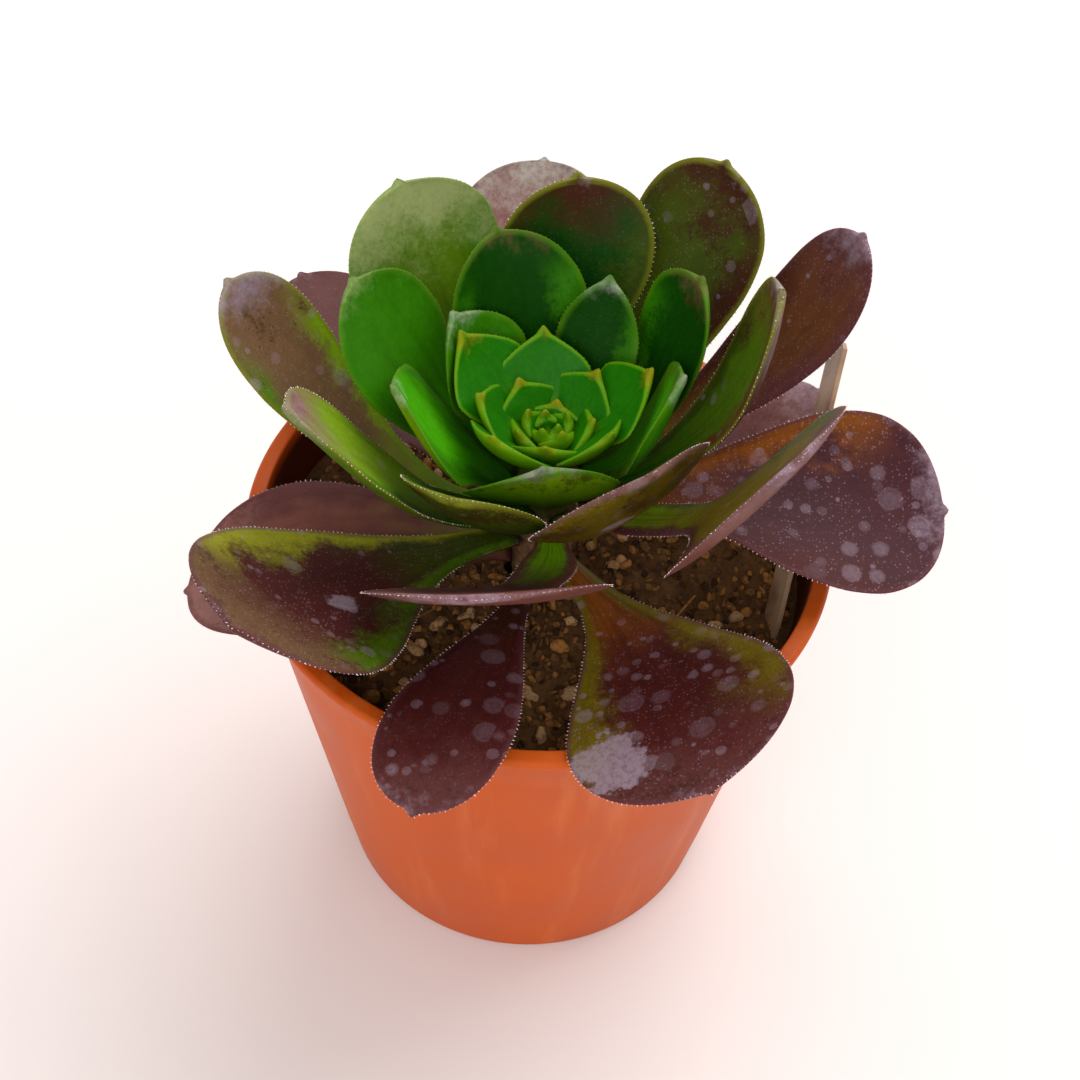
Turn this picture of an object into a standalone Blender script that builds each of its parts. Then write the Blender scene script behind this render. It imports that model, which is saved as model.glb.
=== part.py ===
"""Potted semponium: a rosette of fleshy, spoon-shaped leaves in a small plastic nursery pot.

Lengths below are in millimetres and angles in degrees; the meshes are made in metres, +Z up.
The origin is the middle of the pot's foot, on the surface that it stands on. The view in which
the plant shows best looks along +Y, so 270 degrees is the front and 0 degrees the right.
"""

import math
from collections import namedtuple

import bpy
import numpy as np

MM = 0.001
CLEARANCE = 0.3

# Pot, thin moulded plastic
POT_HEIGHT = 71.0
POT_FOOT_RADIUS = 29.7
POT_WALL_TOP_RADIUS = 41.0
POT_LIP_RADIUS = 42.5
POT_LIP_HEIGHT = 1.6
POT_LIP_ROUNDING = 0.4
POT_WALL = 1.0
POT_FLOOR = 1.5
POT_FOOT_CHAMFER = 0.8
POT_SIDES = 64
DRAIN_HOLES = 6
DRAIN_HOLE_RADIUS = 2.5
DRAIN_CIRCLE_RADIUS = 21.0
DRAIN_HOLE_SIDES = 12
DRILL_OVERSHOOT = 1.0

# Soil, peat with grit, a little sunken at the right
SOIL_HEIGHT = 62.0
SOIL_UNEVENNESS = 0.45
SOIL_WAVES = (0.31, 0.27, 0.20)
SOIL_HOLLOW_DEPTH = 3.0
SOIL_HOLLOW_CENTRE = (27.5, -5.0)
SOIL_HOLLOW_RADIUS = 7.0
SOIL_RINGS = 6
SOIL_SIDES = 48
SOIL_SEED = 7

# Stem, a short woody stump in a plain hole
STEM_CENTRE_X = 0.5
STEM_RADIUS = 4.4
STEM_TOP_RADIUS = 3.4
STEM_FOOT_HEIGHT = 56.0
STEM_SHOULDER_HEIGHT = 80.0
STEM_TOP_HEIGHT = 84.5
STEM_SIDES = 24

# Blank plastic label, a narrow strip that has sunk over backwards under the right-hand leaf
LABEL_FOOT = (33.0, -15.0, 57.0)
LABEL_TOP = (42.0, 22.5, 88.0)
LABEL_HALF_WIDTH = 2.5
LABEL_POINT_HALF_WIDTH = 0.8
LABEL_THICKNESS = 0.7
LABEL_TAPER = 8.0
LABEL_CORNER = 1.0
LABEL_TURN = -26.0

# Leaf blades, thick at the midrib and thin at the margin
FOOT_GAP = 0.35
FOOT_WIDTH = 4.2
FOOT_THICKNESS = 2.0
FOOT_CUP = 0.3
FOOT_CUP_END = 0.5
FOOT_LENGTH = 0.22
FOOT_THICKNESS_END = 0.4
BLADE_START = 0.12
BLADE_THICKNESS = 1.9
MARGIN_THICKNESS = 0.7
TIP_THINNING = 0.35
TIP_THINNING_START = 0.6
TIP_ROUNDNESS = (2.3, 1.5)
TIP_BLUNTNESS = (2.1, 1.1)
TIP_HALF_WIDTH = 1.0
POINT_LENGTH = 0.8
MIDRIB_PULL = 0.36
MIDRIB_STEPS = 40
ROLL_EASE = 1.3
TIP_GATHERING = 1.5
LEAF_ROWS = 10
LEAF_COLUMNS = 6
HEART_ROWS = 8
HEART_COLUMNS = 4

# Heart of the rosette: small leaves that follow each other up the stem at the golden angle
GOLDEN_ANGLE = 137.5
HEART_LEAVES = 12
HEART_FIRST_TURN = 150.0
HEART_FOOT_HEIGHTS = (85.5, 87.5)
HEART_REACHES = (14.5, 4.0)
HEART_TIP_HEIGHTS = (100.0, 91.0)
HEART_WIDTHS = (15.0, 7.5)
HEART_RISE = 50.0
HEART_NOD = 74.0
HEART_NECK = 0.40
HEART_BROADEST = 0.62
HEART_CUP = 0.20
HEART_FOOT_RADIUS = 2.4
CORE_RADIUS = 3.4
CORE_SHOULDER_RADIUS = 3.0
CORE_TOP_RADIUS = 1.0
CORE_HEIGHT = 4.5

# Plain colours of the pieces
POT_COLOUR = (0.62, 0.20, 0.09)
SOIL_COLOUR = (0.035, 0.022, 0.014)
STEM_COLOUR = (0.20, 0.11, 0.05)
LABEL_COLOUR = (0.72, 0.66, 0.60)
HEART_COLOUR = (0.06, 0.26, 0.015)
LEAF_COLOURS = {
    "spreading": (0.13, 0.035, 0.035),
    "rising": (0.16, 0.09, 0.03),
    "upright": (0.08, 0.13, 0.015),
    "inner": (0.05, 0.20, 0.012),
}

# The large leaves, lowest first. A leaf leaves the stem in the direction foot_turn, at foot_height,
# climbing at the angle rise. Its tip lies reach from the stem's axis in the direction turn, at
# tip_height, and there the midrib climbs at the angle nod. width is the blade's full width, neck the
# stalk's share of it and broadest its place as a share of the length. cup is the upward bend across
# the blade, roll tips the blade about its midrib and sway swings its end. opening is the share of
# the length where a long stalk starts to widen, and point goes from 0, rounded, to 1, pointed.
Leaf = namedtuple(
    "Leaf",
    "name foot_turn foot_height rise turn reach tip_height nod width neck broadest cup roll sway"
    " opening point",
    defaults=(BLADE_START, 0.0),
)
LEAVES = (
    Leaf("spreading_left", 191, 64.5, 32, 199, 51.5, 71.0, -16, 27.5, 0.35, 0.64, 0.12, -2, -14),
    Leaf("spreading_front", 256, 64.5, 9, 254, 53.0, 71.5, -14, 18.0, 0.20, 0.76, 0.06, -11, 0),
    Leaf("spreading_back_right", 36, 66.0, 20, 30, 46.5, 77.0, 35, 19.0, 0.35, 0.63, 0.08, 14, -6),
    Leaf("spreading_right", 4, 70.5, 39, 0, 56.5, 78.0, 4, 28.5, 0.20, 0.76, 0.18, -23, 4),
    Leaf("spreading_front_right", 310, 65.5, -1, 294, 55.5, 80.0, 10, 31.0, 0.20, 0.75, 0.08, -27, -10),
    Leaf("spreading_back_left", 136, 68.0, 20, 137, 53.0, 82.5, 18, 23.0, 0.35, 0.68, 0.16, -17, -5),
    Leaf("spreading_front_left", 210, 70.0, 10, 229, 56.0, 96.5, 42, 29.0, 0.20, 0.74, 0.10, 16, 19),
    Leaf("spreading_back", 101, 70.5, 4, 93, 57.5, 90.0, 31, 26.0, 0.35, 0.71, 0.20, 11, -10),
    Leaf("rising_front", 281, 72.5, 10, 256, 37.0, 96.5, 50, 33.0, 0.25, 0.72, 0.08, -9, 9, opening=0.38),
    Leaf("rising_back_right", 28, 73.0, 29, 28, 47.0, 108.5, 73, 16.5, 0.25, 0.76, 0.12, -1, 0),
    Leaf("rising_right", 342, 74.0, 12, 323, 38.5, 111.5, 69, 33.0, 0.20, 0.72, 0.08, -14, -18, opening=0.42),
    Leaf("rising_left", 183, 72.5, 13, 166, 46.0, 103.5, 56, 17.0, 0.20, 0.75, 0.18, 11, -7),
    Leaf("rising_front_left", 214, 74.5, 22, 205, 36.5, 107.0, 56, 17.0, 0.30, 0.69, 0.24, -7, -4),
    Leaf("rising_back_left", 129, 75.0, 32, 131, 34.5, 110.0, 68, 24.5, 0.35, 0.75, 0.16, 3, 1),
    Leaf("rising_back", 54, 75.5, 31, 55, 39.5, 111.5, 72, 21.5, 0.30, 0.75, 0.10, 3, -1),
    Leaf("upright_front_right", 300, 76.5, 28, 303, 24.0, 103.5, 71, 28.0, 0.30, 0.72, 0.16, -6, 0, point=0.4),
    Leaf("upright_back", 94, 77.5, 17, 86, 28.5, 111.0, 68, 22.5, 0.25, 0.76, 0.22, -10, 11),
    Leaf("upright_front_left", 236, 77.5, 30, 244, 26.5, 101.0, 62, 20.0, 0.40, 0.69, 0.24, -7, 4, point=0.4),
    Leaf("upright_right", 0, 77.5, 17, 5, 29.0, 115.0, 90, 18.0, 0.30, 0.75, 0.20, 4, -4),
    Leaf("upright_left", 164, 77.5, 33, 163, 28.5, 107.5, 65, 19.5, 0.35, 0.70, 0.22, 9, -6),
    Leaf("upright_back_left", 97, 80.0, 14, 114, 21.5, 108.0, 61, 20.0, 0.30, 0.64, 0.24, 4, 9, point=0.2),
    Leaf("upright_front", 266, 81.5, 44, 268, 16.0, 99.0, 81, 21.0, 0.35, 0.68, 0.06, -9, 8, point=0.7),
    Leaf("upright_back_right", 25, 80.0, 21, 29, 22.0, 109.0, 81, 16.5, 0.30, 0.74, 0.24, 4, 0),
    Leaf("inner_right", 351, 82.0, 23, 349, 17.5, 104.5, 74, 18.5, 0.35, 0.70, 0.18, 7, 0, point=1.0),
    Leaf("inner_left", 197, 80.5, 46, 198, 21.5, 103.0, 70, 21.0, 0.40, 0.68, 0.12, 0, 2, point=1.0),
    Leaf("inner_back", 62, 82.0, 33, 65, 17.0, 104.0, 76, 12.0, 0.35, 0.60, 0.26, -13, 4, point=0.5),
    Leaf("inner_back_left", 132, 82.0, 39, 145, 17.0, 101.0, 68, 16.0, 0.35, 0.60, 0.34, -9, -4, point=0.4),
)


def principled(name, colour, roughness):
    """A plain material with one colour."""
    material = bpy.data.materials.new(name)
    material.use_nodes = True
    shader = material.node_tree.nodes["Principled BSDF"]
    shader.inputs["Base Color"].default_value = (*colour, 1.0)
    shader.inputs["Roughness"].default_value = roughness
    shader.inputs["Metallic"].default_value = 0.0
    material.diffuse_color = (*colour, 1.0)
    return material


def solid(name, points, faces, colour, roughness, sharp_angle=40.0):
    """An object made from points in millimetres, with its own material."""
    mesh = bpy.data.meshes.new(name)
    mesh.from_pydata([tuple(MM * value for value in point) for point in points], [], faces)
    mesh.validate()
    mesh.shade_smooth()
    mesh.set_sharp_from_angle(angle=math.radians(sharp_angle))
    mesh.materials.append(principled(name, colour, roughness))
    made = bpy.data.objects.new(name, mesh)
    bpy.context.scene.collection.objects.link(made)
    return made


def turned(profile, sides, centre=(0.0, 0.0), height_at=None):
    """Points and faces of a profile turned about a vertical axis, closed by flat ends.

    The profile runs from the lower end up the outside to the upper end, as (radius, height).
    """
    points = []
    for radius, height in profile:
        for side in range(sides):
            angle = 2.0 * math.pi * side / sides
            x = centre[0] + radius * math.cos(angle)
            y = centre[1] + radius * math.sin(angle)
            points.append((x, y, height_at(x, y, height) if height_at else height))
    faces = [tuple(reversed(range(sides)))]
    for ring in range(len(profile) - 1):
        low = ring * sides
        high = low + sides
        for side in range(sides):
            beside = (side + 1) % sides
            faces.append((low + side, low + beside, high + beside, high + side))
    faces.append(tuple(range(len(points) - sides, len(points))))
    return points, faces


def apply_modifiers(target):
    """Replace the object's mesh with the one that its modifiers make."""
    graph = bpy.context.evaluated_depsgraph_get()
    made = bpy.data.meshes.new_from_object(target.evaluated_get(graph))
    target.modifiers.clear()
    target.data = made


def cut(target, cutter):
    """Cut one object out of another and keep the result as plain mesh."""
    cutter.hide_render = True
    cutter.display_type = "WIRE"
    modifier = target.modifiers.new("cut", "BOOLEAN")
    modifier.operation = "DIFFERENCE"
    modifier.solver = "EXACT"
    modifier.object = cutter
    apply_modifiers(target)
    bpy.data.objects.remove(cutter)


def pot_wall_radius(height):
    """Outer radius of the pot's tapering wall."""
    slope = (POT_WALL_TOP_RADIUS - POT_FOOT_RADIUS) / (POT_HEIGHT - POT_LIP_HEIGHT)
    return POT_FOOT_RADIUS + slope * height


def make_pot():
    """The pot: a thin tapering wall, a bead at the rim and a flat floor with drain holes."""
    lip_foot = POT_HEIGHT - POT_LIP_HEIGHT
    rounding = POT_LIP_ROUNDING
    inner_top = POT_WALL_TOP_RADIUS - POT_WALL
    profile = [
        (POT_FOOT_RADIUS - POT_FOOT_CHAMFER, 0.0),
        (pot_wall_radius(POT_FOOT_CHAMFER), POT_FOOT_CHAMFER),
        (pot_wall_radius(lip_foot), lip_foot),
        (POT_LIP_RADIUS - rounding, lip_foot),
        (POT_LIP_RADIUS, lip_foot + rounding),
        (POT_LIP_RADIUS, POT_HEIGHT - rounding),
        (POT_LIP_RADIUS - rounding, POT_HEIGHT),
        (inner_top + rounding, POT_HEIGHT),
        (inner_top, POT_HEIGHT - rounding),
        (pot_wall_radius(POT_FLOOR) - POT_WALL, POT_FLOOR),
    ]
    points, faces = turned(profile, POT_SIDES)
    pot = solid("pot", points, faces, POT_COLOUR, 0.45)
    drill = [(DRAIN_HOLE_RADIUS, -DRILL_OVERSHOOT), (DRAIN_HOLE_RADIUS, POT_FLOOR + DRILL_OVERSHOOT)]
    points, faces = [], []
    for hole in range(DRAIN_HOLES):
        angle = 2.0 * math.pi * hole / DRAIN_HOLES
        centre = (DRAIN_CIRCLE_RADIUS * math.cos(angle), DRAIN_CIRCLE_RADIUS * math.sin(angle))
        hole_points, hole_faces = turned(drill, DRAIN_HOLE_SIDES, centre)
        faces += [tuple(len(points) + index for index in face) for face in hole_faces]
        points += hole_points
    cut(pot, solid("drain_drills", points, faces, POT_COLOUR, 0.45))
    return pot


def soil_surface(x, y, height):
    """Gently uneven soil: a few low waves and a hollow at the right. Lower points stay put."""
    if height < SOIL_HEIGHT:
        return height
    phases = np.random.default_rng(SOIL_SEED).uniform(0.0, 2.0 * math.pi, 3)
    along = (x, y, x + y)
    waves = sum(math.sin(pace * way + phase) for pace, way, phase in zip(SOIL_WAVES, along, phases))
    away = math.hypot(x - SOIL_HOLLOW_CENTRE[0], y - SOIL_HOLLOW_CENTRE[1]) / SOIL_HOLLOW_RADIUS
    hollow = SOIL_HOLLOW_DEPTH * math.exp(-away * away)
    return height + SOIL_UNEVENNESS * waves / len(SOIL_WAVES) - hollow


def make_soil():
    """The soil: it fills the pot to just under the rim, with a plain hole for the stem."""
    floor = POT_FLOOR + CLEARANCE
    inset = POT_WALL + CLEARANCE
    edge = pot_wall_radius(SOIL_HEIGHT) - inset
    hole = STEM_RADIUS + STEM_CENTRE_X + CLEARANCE
    profile = [(pot_wall_radius(floor) - inset, floor)]
    for ring in range(SOIL_RINGS + 1):
        profile.append((edge + (hole - edge) * ring / SOIL_RINGS, SOIL_HEIGHT))
    profile.append((hole, STEM_FOOT_HEIGHT - CLEARANCE))
    points, faces = turned(profile, SOIL_SIDES, height_at=soil_surface)
    return solid("soil", points, faces, SOIL_COLOUR, 0.95)


def make_stem():
    """The stem: a short stump between the soil and the heart of the rosette."""
    profile = [
        (STEM_RADIUS, STEM_FOOT_HEIGHT),
        (STEM_RADIUS, STEM_SHOULDER_HEIGHT),
        (STEM_TOP_RADIUS, STEM_TOP_HEIGHT),
    ]
    points, faces = turned(profile, STEM_SIDES, centre=(STEM_CENTRE_X, 0.0))
    return solid("stem", points, faces, STEM_COLOUR, 0.8)


def make_label(name, growth):
    """The label, or with growth its slot in the soil: a flat strip with a pointed foot."""
    foot = np.array(LABEL_FOOT)
    along = np.array(LABEL_TOP) - foot
    length = np.linalg.norm(along)
    along /= length
    level = np.cross(along, (0.0, 0.0, 1.0))
    level /= np.linalg.norm(level)
    turn = math.radians(LABEL_TURN)
    through = math.cos(turn) * level + math.sin(turn) * np.cross(level, along)
    across = np.cross(through, along)
    half = LABEL_HALF_WIDTH + growth
    point = LABEL_POINT_HALF_WIDTH + growth
    outline = [
        (-growth, -point),
        (-growth, point),
        (LABEL_TAPER, half),
        (length - LABEL_CORNER, half),
        (length, half - LABEL_CORNER),
        (length, LABEL_CORNER - half),
        (length - LABEL_CORNER, -half),
        (LABEL_TAPER, -half),
    ]
    thick = LABEL_THICKNESS / 2.0 + growth
    points = []
    for face in (-thick, thick):
        for up, side in outline:
            points.append(foot + up * along + side * across + face * through)
    count = len(outline)
    lower = tuple(range(count))
    upper = tuple(reversed(range(count, 2 * count)))
    edges = []
    for index in range(count):
        beside = (index + 1) % count
        edges.append((index, count + index, count + beside, beside))
    return solid(name, points, [lower, upper, *edges], LABEL_COLOUR, 0.4, sharp_angle=20.0)


def smooth(value):
    """Ease from 0 to 1."""
    clipped = np.clip(value, 0.0, 1.0)
    return clipped * clipped * (3.0 - 2.0 * clipped)


def heading(turn, climb):
    """Unit vector in the direction turn, climbing at the angle climb."""
    turn, climb = math.radians(turn), math.radians(climb)
    level = math.cos(climb)
    return np.array([level * math.cos(turn), level * math.sin(turn), math.sin(climb)])


def around_stem(radius, turn, height):
    """Point at a radius from the stem's axis."""
    turn = math.radians(turn)
    return np.array([STEM_CENTRE_X + radius * math.cos(turn), radius * math.sin(turn), height])


def midrib(leaf, foot_radius, shares):
    """Points along the midrib at shares of its length, and the frame of the blade there."""
    foot = around_stem(foot_radius, leaf.foot_turn, leaf.foot_height)
    tip = around_stem(leaf.reach, leaf.turn, leaf.tip_height)
    pull = MIDRIB_PULL * np.linalg.norm(tip - foot)
    rising = foot + pull * heading(leaf.foot_turn, leaf.rise)
    nodding = tip - pull * heading(leaf.turn + leaf.sway, leaf.nod)

    def curve(t):
        u = 1.0 - t
        return u**3 * foot + 3.0 * u * u * t * rising + 3.0 * u * t * t * nodding + t**3 * tip

    fine = np.linspace(0.0, 1.0, MIDRIB_STEPS + 1)[:, None]
    steps = np.linalg.norm(np.diff(curve(fine), axis=0), axis=1)
    lengths = np.concatenate([[0.0], np.cumsum(steps)])
    t = np.interp(shares * lengths[-1], lengths, fine[:, 0])[:, None]
    u = 1.0 - t
    along = u * u * (rising - foot) + 2.0 * u * t * (nodding - rising) + t * t * (tip - nodding)
    along /= np.linalg.norm(along, axis=1)[:, None]
    facing = np.radians(leaf.foot_turn + (leaf.turn + leaf.sway - leaf.foot_turn) * shares)
    across = np.stack([np.sin(facing), -np.cos(facing), np.zeros_like(facing)], axis=-1)
    across -= np.sum(across * along, axis=1)[:, None] * along
    across /= np.linalg.norm(across, axis=1)[:, None]
    up = np.cross(across, along)
    roll = np.radians(leaf.roll) * shares[:, None] ** ROLL_EASE
    across, up = np.cos(roll) * across + np.sin(roll) * up, np.cos(roll) * up - np.sin(roll) * across
    return curve(t), along, across, up


def between(ends, share):
    """The value at a share of the way between two ends."""
    return ends[0] + (ends[1] - ends[0]) * share


def half_width(leaf, shares):
    """Half the blade's width: a narrow foot, a stalk, a broad blade and a rounded or pointed tip."""
    opening = smooth((shares - leaf.opening) / (leaf.broadest - leaf.opening))
    growing = leaf.neck + (1.0 - leaf.neck) * opening
    past = np.clip((shares - leaf.broadest) / (1.0 - leaf.broadest), 0.0, 1.0)
    roundness = between(TIP_ROUNDNESS, leaf.point)
    bluntness = between(TIP_BLUNTNESS, leaf.point)
    rounding = np.maximum(1.0 - past**roundness, 0.0) ** (1.0 / bluntness)
    blade = np.where(shares > leaf.broadest, rounding, growing) * leaf.width / 2.0
    foot = FOOT_WIDTH / 2.0
    return np.maximum(foot + (blade - foot) * smooth(shares / FOOT_LENGTH), TIP_HALF_WIDTH)


def blade_thickness(shares):
    """Thickness along the midrib, thinner towards the tip."""
    foot_to_blade = smooth(shares / FOOT_THICKNESS_END)
    thick = FOOT_THICKNESS + (BLADE_THICKNESS - FOOT_THICKNESS) * foot_to_blade
    to_tip = smooth((shares - TIP_THINNING_START) / (1.0 - TIP_THINNING_START))
    return thick * (1.0 - TIP_THINNING * to_tip)


def leaf_solid(leaf, foot_radius, rows, columns):
    """Points and faces of one leaf: a closed blade with a small point at its tip."""
    shares = 1.0 - (1.0 - np.linspace(0.0, 1.0, rows + 1)) ** TIP_GATHERING
    middle, along, across, up = midrib(leaf, foot_radius, shares)
    half = half_width(leaf, shares)[:, None]
    sides = np.linspace(-1.0, 1.0, columns + 1)[None]
    foot_cup = np.clip(1.0 - shares / FOOT_CUP_END, 0.0, 1.0)
    cup = (leaf.cup + (FOOT_CUP - leaf.cup) * foot_cup)[:, None]
    surface = middle[:, None] + across[:, None] * (half * sides)[..., None]
    surface = surface + up[:, None] * (cup * half * sides**2)[..., None]
    slope = (2.0 * cup * sides)[..., None]
    outward = (up[:, None] - across[:, None] * slope) / np.sqrt(1.0 + slope**2)
    thickness = blade_thickness(shares)[:, None] * (1.0 - sides**2) + MARGIN_THICKNESS * sides**2
    upper = surface + outward * thickness[..., None] / 2.0
    lower = surface - outward * thickness[..., None] / 2.0
    point = surface[-1, columns // 2] + POINT_LENGTH * along[-1]
    return [*upper.reshape(-1, 3), *lower.reshape(-1, 3), point], leaf_faces(rows, columns)


def leaf_faces(rows, columns):
    """Faces of a leaf: upper and lower sheets, both margins, the foot and the pointed tip."""
    width = columns + 1
    under = (rows + 1) * width
    apex = 2 * under
    faces = []
    for row in range(rows):
        for column in range(columns):
            a = row * width + column
            b = a + width
            faces.append((a, a + 1, b + 1, b))
            faces.append((under + a, under + b, under + b + 1, under + a + 1))
        left = row * width
        right = left + columns
        faces.append((left, left + width, under + left + width, under + left))
        faces.append((right, under + right, under + right + width, right + width))
    for column in range(columns):
        end = rows * width + column
        faces.append((column, under + column, under + column + 1, column + 1))
        faces.append((end, end + 1, apex))
        faces.append((under + end + 1, under + end, apex))
    end = rows * width
    faces.append((under + end, end, apex))
    faces.append((end + columns, under + end + columns, apex))
    return faces


def make_leaf(leaf):
    """One large leaf, its foot just clear of the stem."""
    tilt = FOOT_THICKNESS / 2.0 * abs(math.sin(math.radians(leaf.rise)))
    foot_radius = STEM_RADIUS + FOOT_GAP + tilt
    points, faces = leaf_solid(leaf, foot_radius, LEAF_ROWS, LEAF_COLUMNS)
    colour = LEAF_COLOURS[leaf.name.split("_")[0]]
    return solid(f"{leaf.name}_leaf", points, faces, colour, 0.55, sharp_angle=70.0)


def heart_leaf(number):
    """Small leaf of the heart: each one is shorter and steeper set than the one before."""
    share = number / (HEART_LEAVES - 1)
    turn = HEART_FIRST_TURN - GOLDEN_ANGLE * number
    return Leaf(
        name=f"heart_leaf_{number}",
        foot_turn=turn,
        foot_height=between(HEART_FOOT_HEIGHTS, share),
        rise=HEART_RISE,
        turn=turn,
        reach=between(HEART_REACHES, share),
        tip_height=between(HEART_TIP_HEIGHTS, share),
        nod=HEART_NOD,
        width=between(HEART_WIDTHS, share),
        neck=HEART_NECK,
        broadest=HEART_BROADEST,
        cup=HEART_CUP,
        roll=0.0,
        sway=0.0,
        point=1.0,
    )


def make_heart():
    """The heart: a small core on the stem's top with its young leaves grown together."""
    foot = STEM_TOP_HEIGHT + CLEARANCE
    profile = [
        (CORE_RADIUS, foot),
        (CORE_SHOULDER_RADIUS, foot + CORE_HEIGHT / 2.0),
        (CORE_TOP_RADIUS, foot + CORE_HEIGHT),
    ]
    points, faces = turned(profile, STEM_SIDES, centre=(STEM_CENTRE_X, 0.0))
    heart = solid("heart", points, faces, HEART_COLOUR, 0.5, sharp_angle=70.0)
    young = bpy.data.collections.new("young_leaves")
    bpy.context.scene.collection.children.link(young)
    for number in range(HEART_LEAVES):
        leaf = heart_leaf(number)
        points, faces = leaf_solid(leaf, HEART_FOOT_RADIUS, HEART_ROWS, HEART_COLUMNS)
        made = solid(leaf.name, points, faces, HEART_COLOUR, 0.5, sharp_angle=70.0)
        bpy.context.scene.collection.objects.unlink(made)
        young.objects.link(made)
    union = heart.modifiers.new("grown_together", "BOOLEAN")
    union.operation = "UNION"
    union.solver = "EXACT"
    union.operand_type = "COLLECTION"
    union.collection = young
    apply_modifiers(heart)
    for made in list(young.objects):
        bpy.data.objects.remove(made)
    bpy.data.collections.remove(young)
    return heart


for old in list(bpy.data.objects):
    bpy.data.objects.remove(old)

make_pot()
cut(make_soil(), make_label("label_slot", CLEARANCE))
make_label("label", 0.0)
make_stem()
for large_leaf in LEAVES:
    make_leaf(large_leaf)
make_heart()
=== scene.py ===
"""Potted semponium: the finish of the plant and its pot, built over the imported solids.

Lengths are in millimetres and angles in degrees, and every mesh is made in metres, +Z up. The view
in which the plant shows best looks along +Y, so 270 degrees is the front and 0 degrees the right.
"""

import math
from collections import namedtuple

import bpy
import numpy as np
from mathutils import Matrix, Vector


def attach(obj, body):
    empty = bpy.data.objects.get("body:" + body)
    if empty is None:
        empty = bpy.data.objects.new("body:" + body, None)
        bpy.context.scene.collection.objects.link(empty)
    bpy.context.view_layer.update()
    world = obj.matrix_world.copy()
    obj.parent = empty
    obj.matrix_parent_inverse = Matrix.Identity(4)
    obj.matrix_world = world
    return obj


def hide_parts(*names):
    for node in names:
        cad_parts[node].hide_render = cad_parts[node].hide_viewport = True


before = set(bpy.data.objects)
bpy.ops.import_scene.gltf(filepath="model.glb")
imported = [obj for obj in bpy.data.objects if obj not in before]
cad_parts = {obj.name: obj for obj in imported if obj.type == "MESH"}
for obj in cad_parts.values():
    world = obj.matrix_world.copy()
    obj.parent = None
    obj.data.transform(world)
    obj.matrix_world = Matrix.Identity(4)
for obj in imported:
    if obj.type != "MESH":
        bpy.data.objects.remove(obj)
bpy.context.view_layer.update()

# Pot
# A thin nursery pot, moulded in terracotta-coloured plastic: a tapering wall, a rolled bead round
# the rim and six drain holes in a flat floor. The wall is satin, with faint streaks down it, and its
# inner face is painted dark as painted shade.
MM = 0.001
POT_HEIGHT = 71.0
POT_FOOT_RADIUS = 29.7
POT_WALL_TOP_RADIUS = 41.0
POT_LIP_RADIUS = 42.5
POT_LIP_HEIGHT = 1.6
POT_WALL = 1.0
POT_FLOOR = 1.5
POT_FOOT_ROUNDING = 0.8
POT_RIM_ROUNDING = 0.4
POT_FLOOR_ROUNDING = 1.0
POT_BEAD_NECK = 0.3
# Painted shade inside the pot: how deep under the outer skin it begins and is full, and the heights under
# the rim where it fades out.
POT_INNER_SHADE_DEPTHS = (0.55, 0.9)
POT_INNER_SHADE_TOPS = (68.5, 70.6)
POT_SIDES = 192
POT_BANDS = 8
POT_STREAK_STRETCH = 0.05
DRAIN_HOLES = 6
DRAIN_HOLE_RADIUS = 2.5
DRAIN_CIRCLE_RADIUS = 21.0
DRAIN_HOLE_SIDES = 24
DRILL_MARGIN = 1.0


def shade(red, green, blue):
    """Linear colour from display values between 0 and 255."""
    parts = []
    for value in (red, green, blue):
        value /= 255.0
        parts.append(value / 12.92 if value <= 0.04045 else ((value + 0.055) / 1.055) ** 2.4)
    return (*parts, 1.0)


def plug(tree, value, socket):
    """Link a field to a socket, or set a plain value on it."""
    if isinstance(value, Field):
        tree.links.new(value.socket, socket)
    else:
        socket.default_value = value


class Field:
    """A node's output on which plain arithmetic adds the nodes of a formula."""

    math_node = "ShaderNodeMath"

    def __init__(self, tree, socket):
        self.tree = tree
        self.socket = socket

    def calc(self, operation, *others):
        inputs = dict(enumerate((self, *others)))
        return result(self.tree, self.math_node, inputs, wrap=type(self), operation=operation)

    def __add__(self, other):
        return self.calc("ADD", other)

    __radd__ = __add__

    def __sub__(self, other):
        return self.calc("SUBTRACT", other)

    def __rsub__(self, other):
        return (self * -1.0) + other

    def __mul__(self, other):
        return self.calc("MULTIPLY", other)

    __rmul__ = __mul__

    def __truediv__(self, other):
        return self.calc("DIVIDE", other)

    def __pow__(self, other):
        return self.calc("POWER", other)

    def clipped(self):
        return self.calc("MINIMUM", 1.0).calc("MAXIMUM", 0.0)


class Arrows(Field):
    """A node's vector output on which plain arithmetic works."""

    math_node = "ShaderNodeVectorMath"

    def __mul__(self, amount):
        inputs = {0: self, "Scale": amount}
        return result(self.tree, self.math_node, inputs, wrap=Arrows, operation="SCALE")

    def dot(self, other):
        return result(self.tree, self.math_node, {0: self, 1: other}, "Value", operation="DOT_PRODUCT")

    def length(self):
        return result(self.tree, self.math_node, {0: self}, "Value", operation="LENGTH")

    def cross(self, other):
        return self.calc("CROSS_PRODUCT", other)

    def unit(self):
        return self.calc("NORMALIZE")

    def parts(self):
        made = node(self.tree, "ShaderNodeSeparateXYZ", {0: self})
        return [Field(self.tree, socket) for socket in made.outputs]


def node(tree, kind, inputs, **settings):
    """A node with its settings, and its inputs by name or by number."""
    made = tree.nodes.new(kind)
    for name, value in settings.items():
        setattr(made, name, value)
    for name, value in (inputs or {}).items():
        plug(tree, value, made.inputs[name])
    return made


def result(tree, kind, inputs=None, output=0, wrap=Field, **settings):
    """One output of a new node, to go on with."""
    return wrap(tree, node(tree, kind, inputs, **settings).outputs[output])


def arrow(tree, x=0.0, y=0.0, z=0.0):
    """A vector made of three numbers or fields."""
    return result(tree, "ShaderNodeCombineXYZ", {"X": x, "Y": y, "Z": z}, wrap=Arrows)


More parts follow.
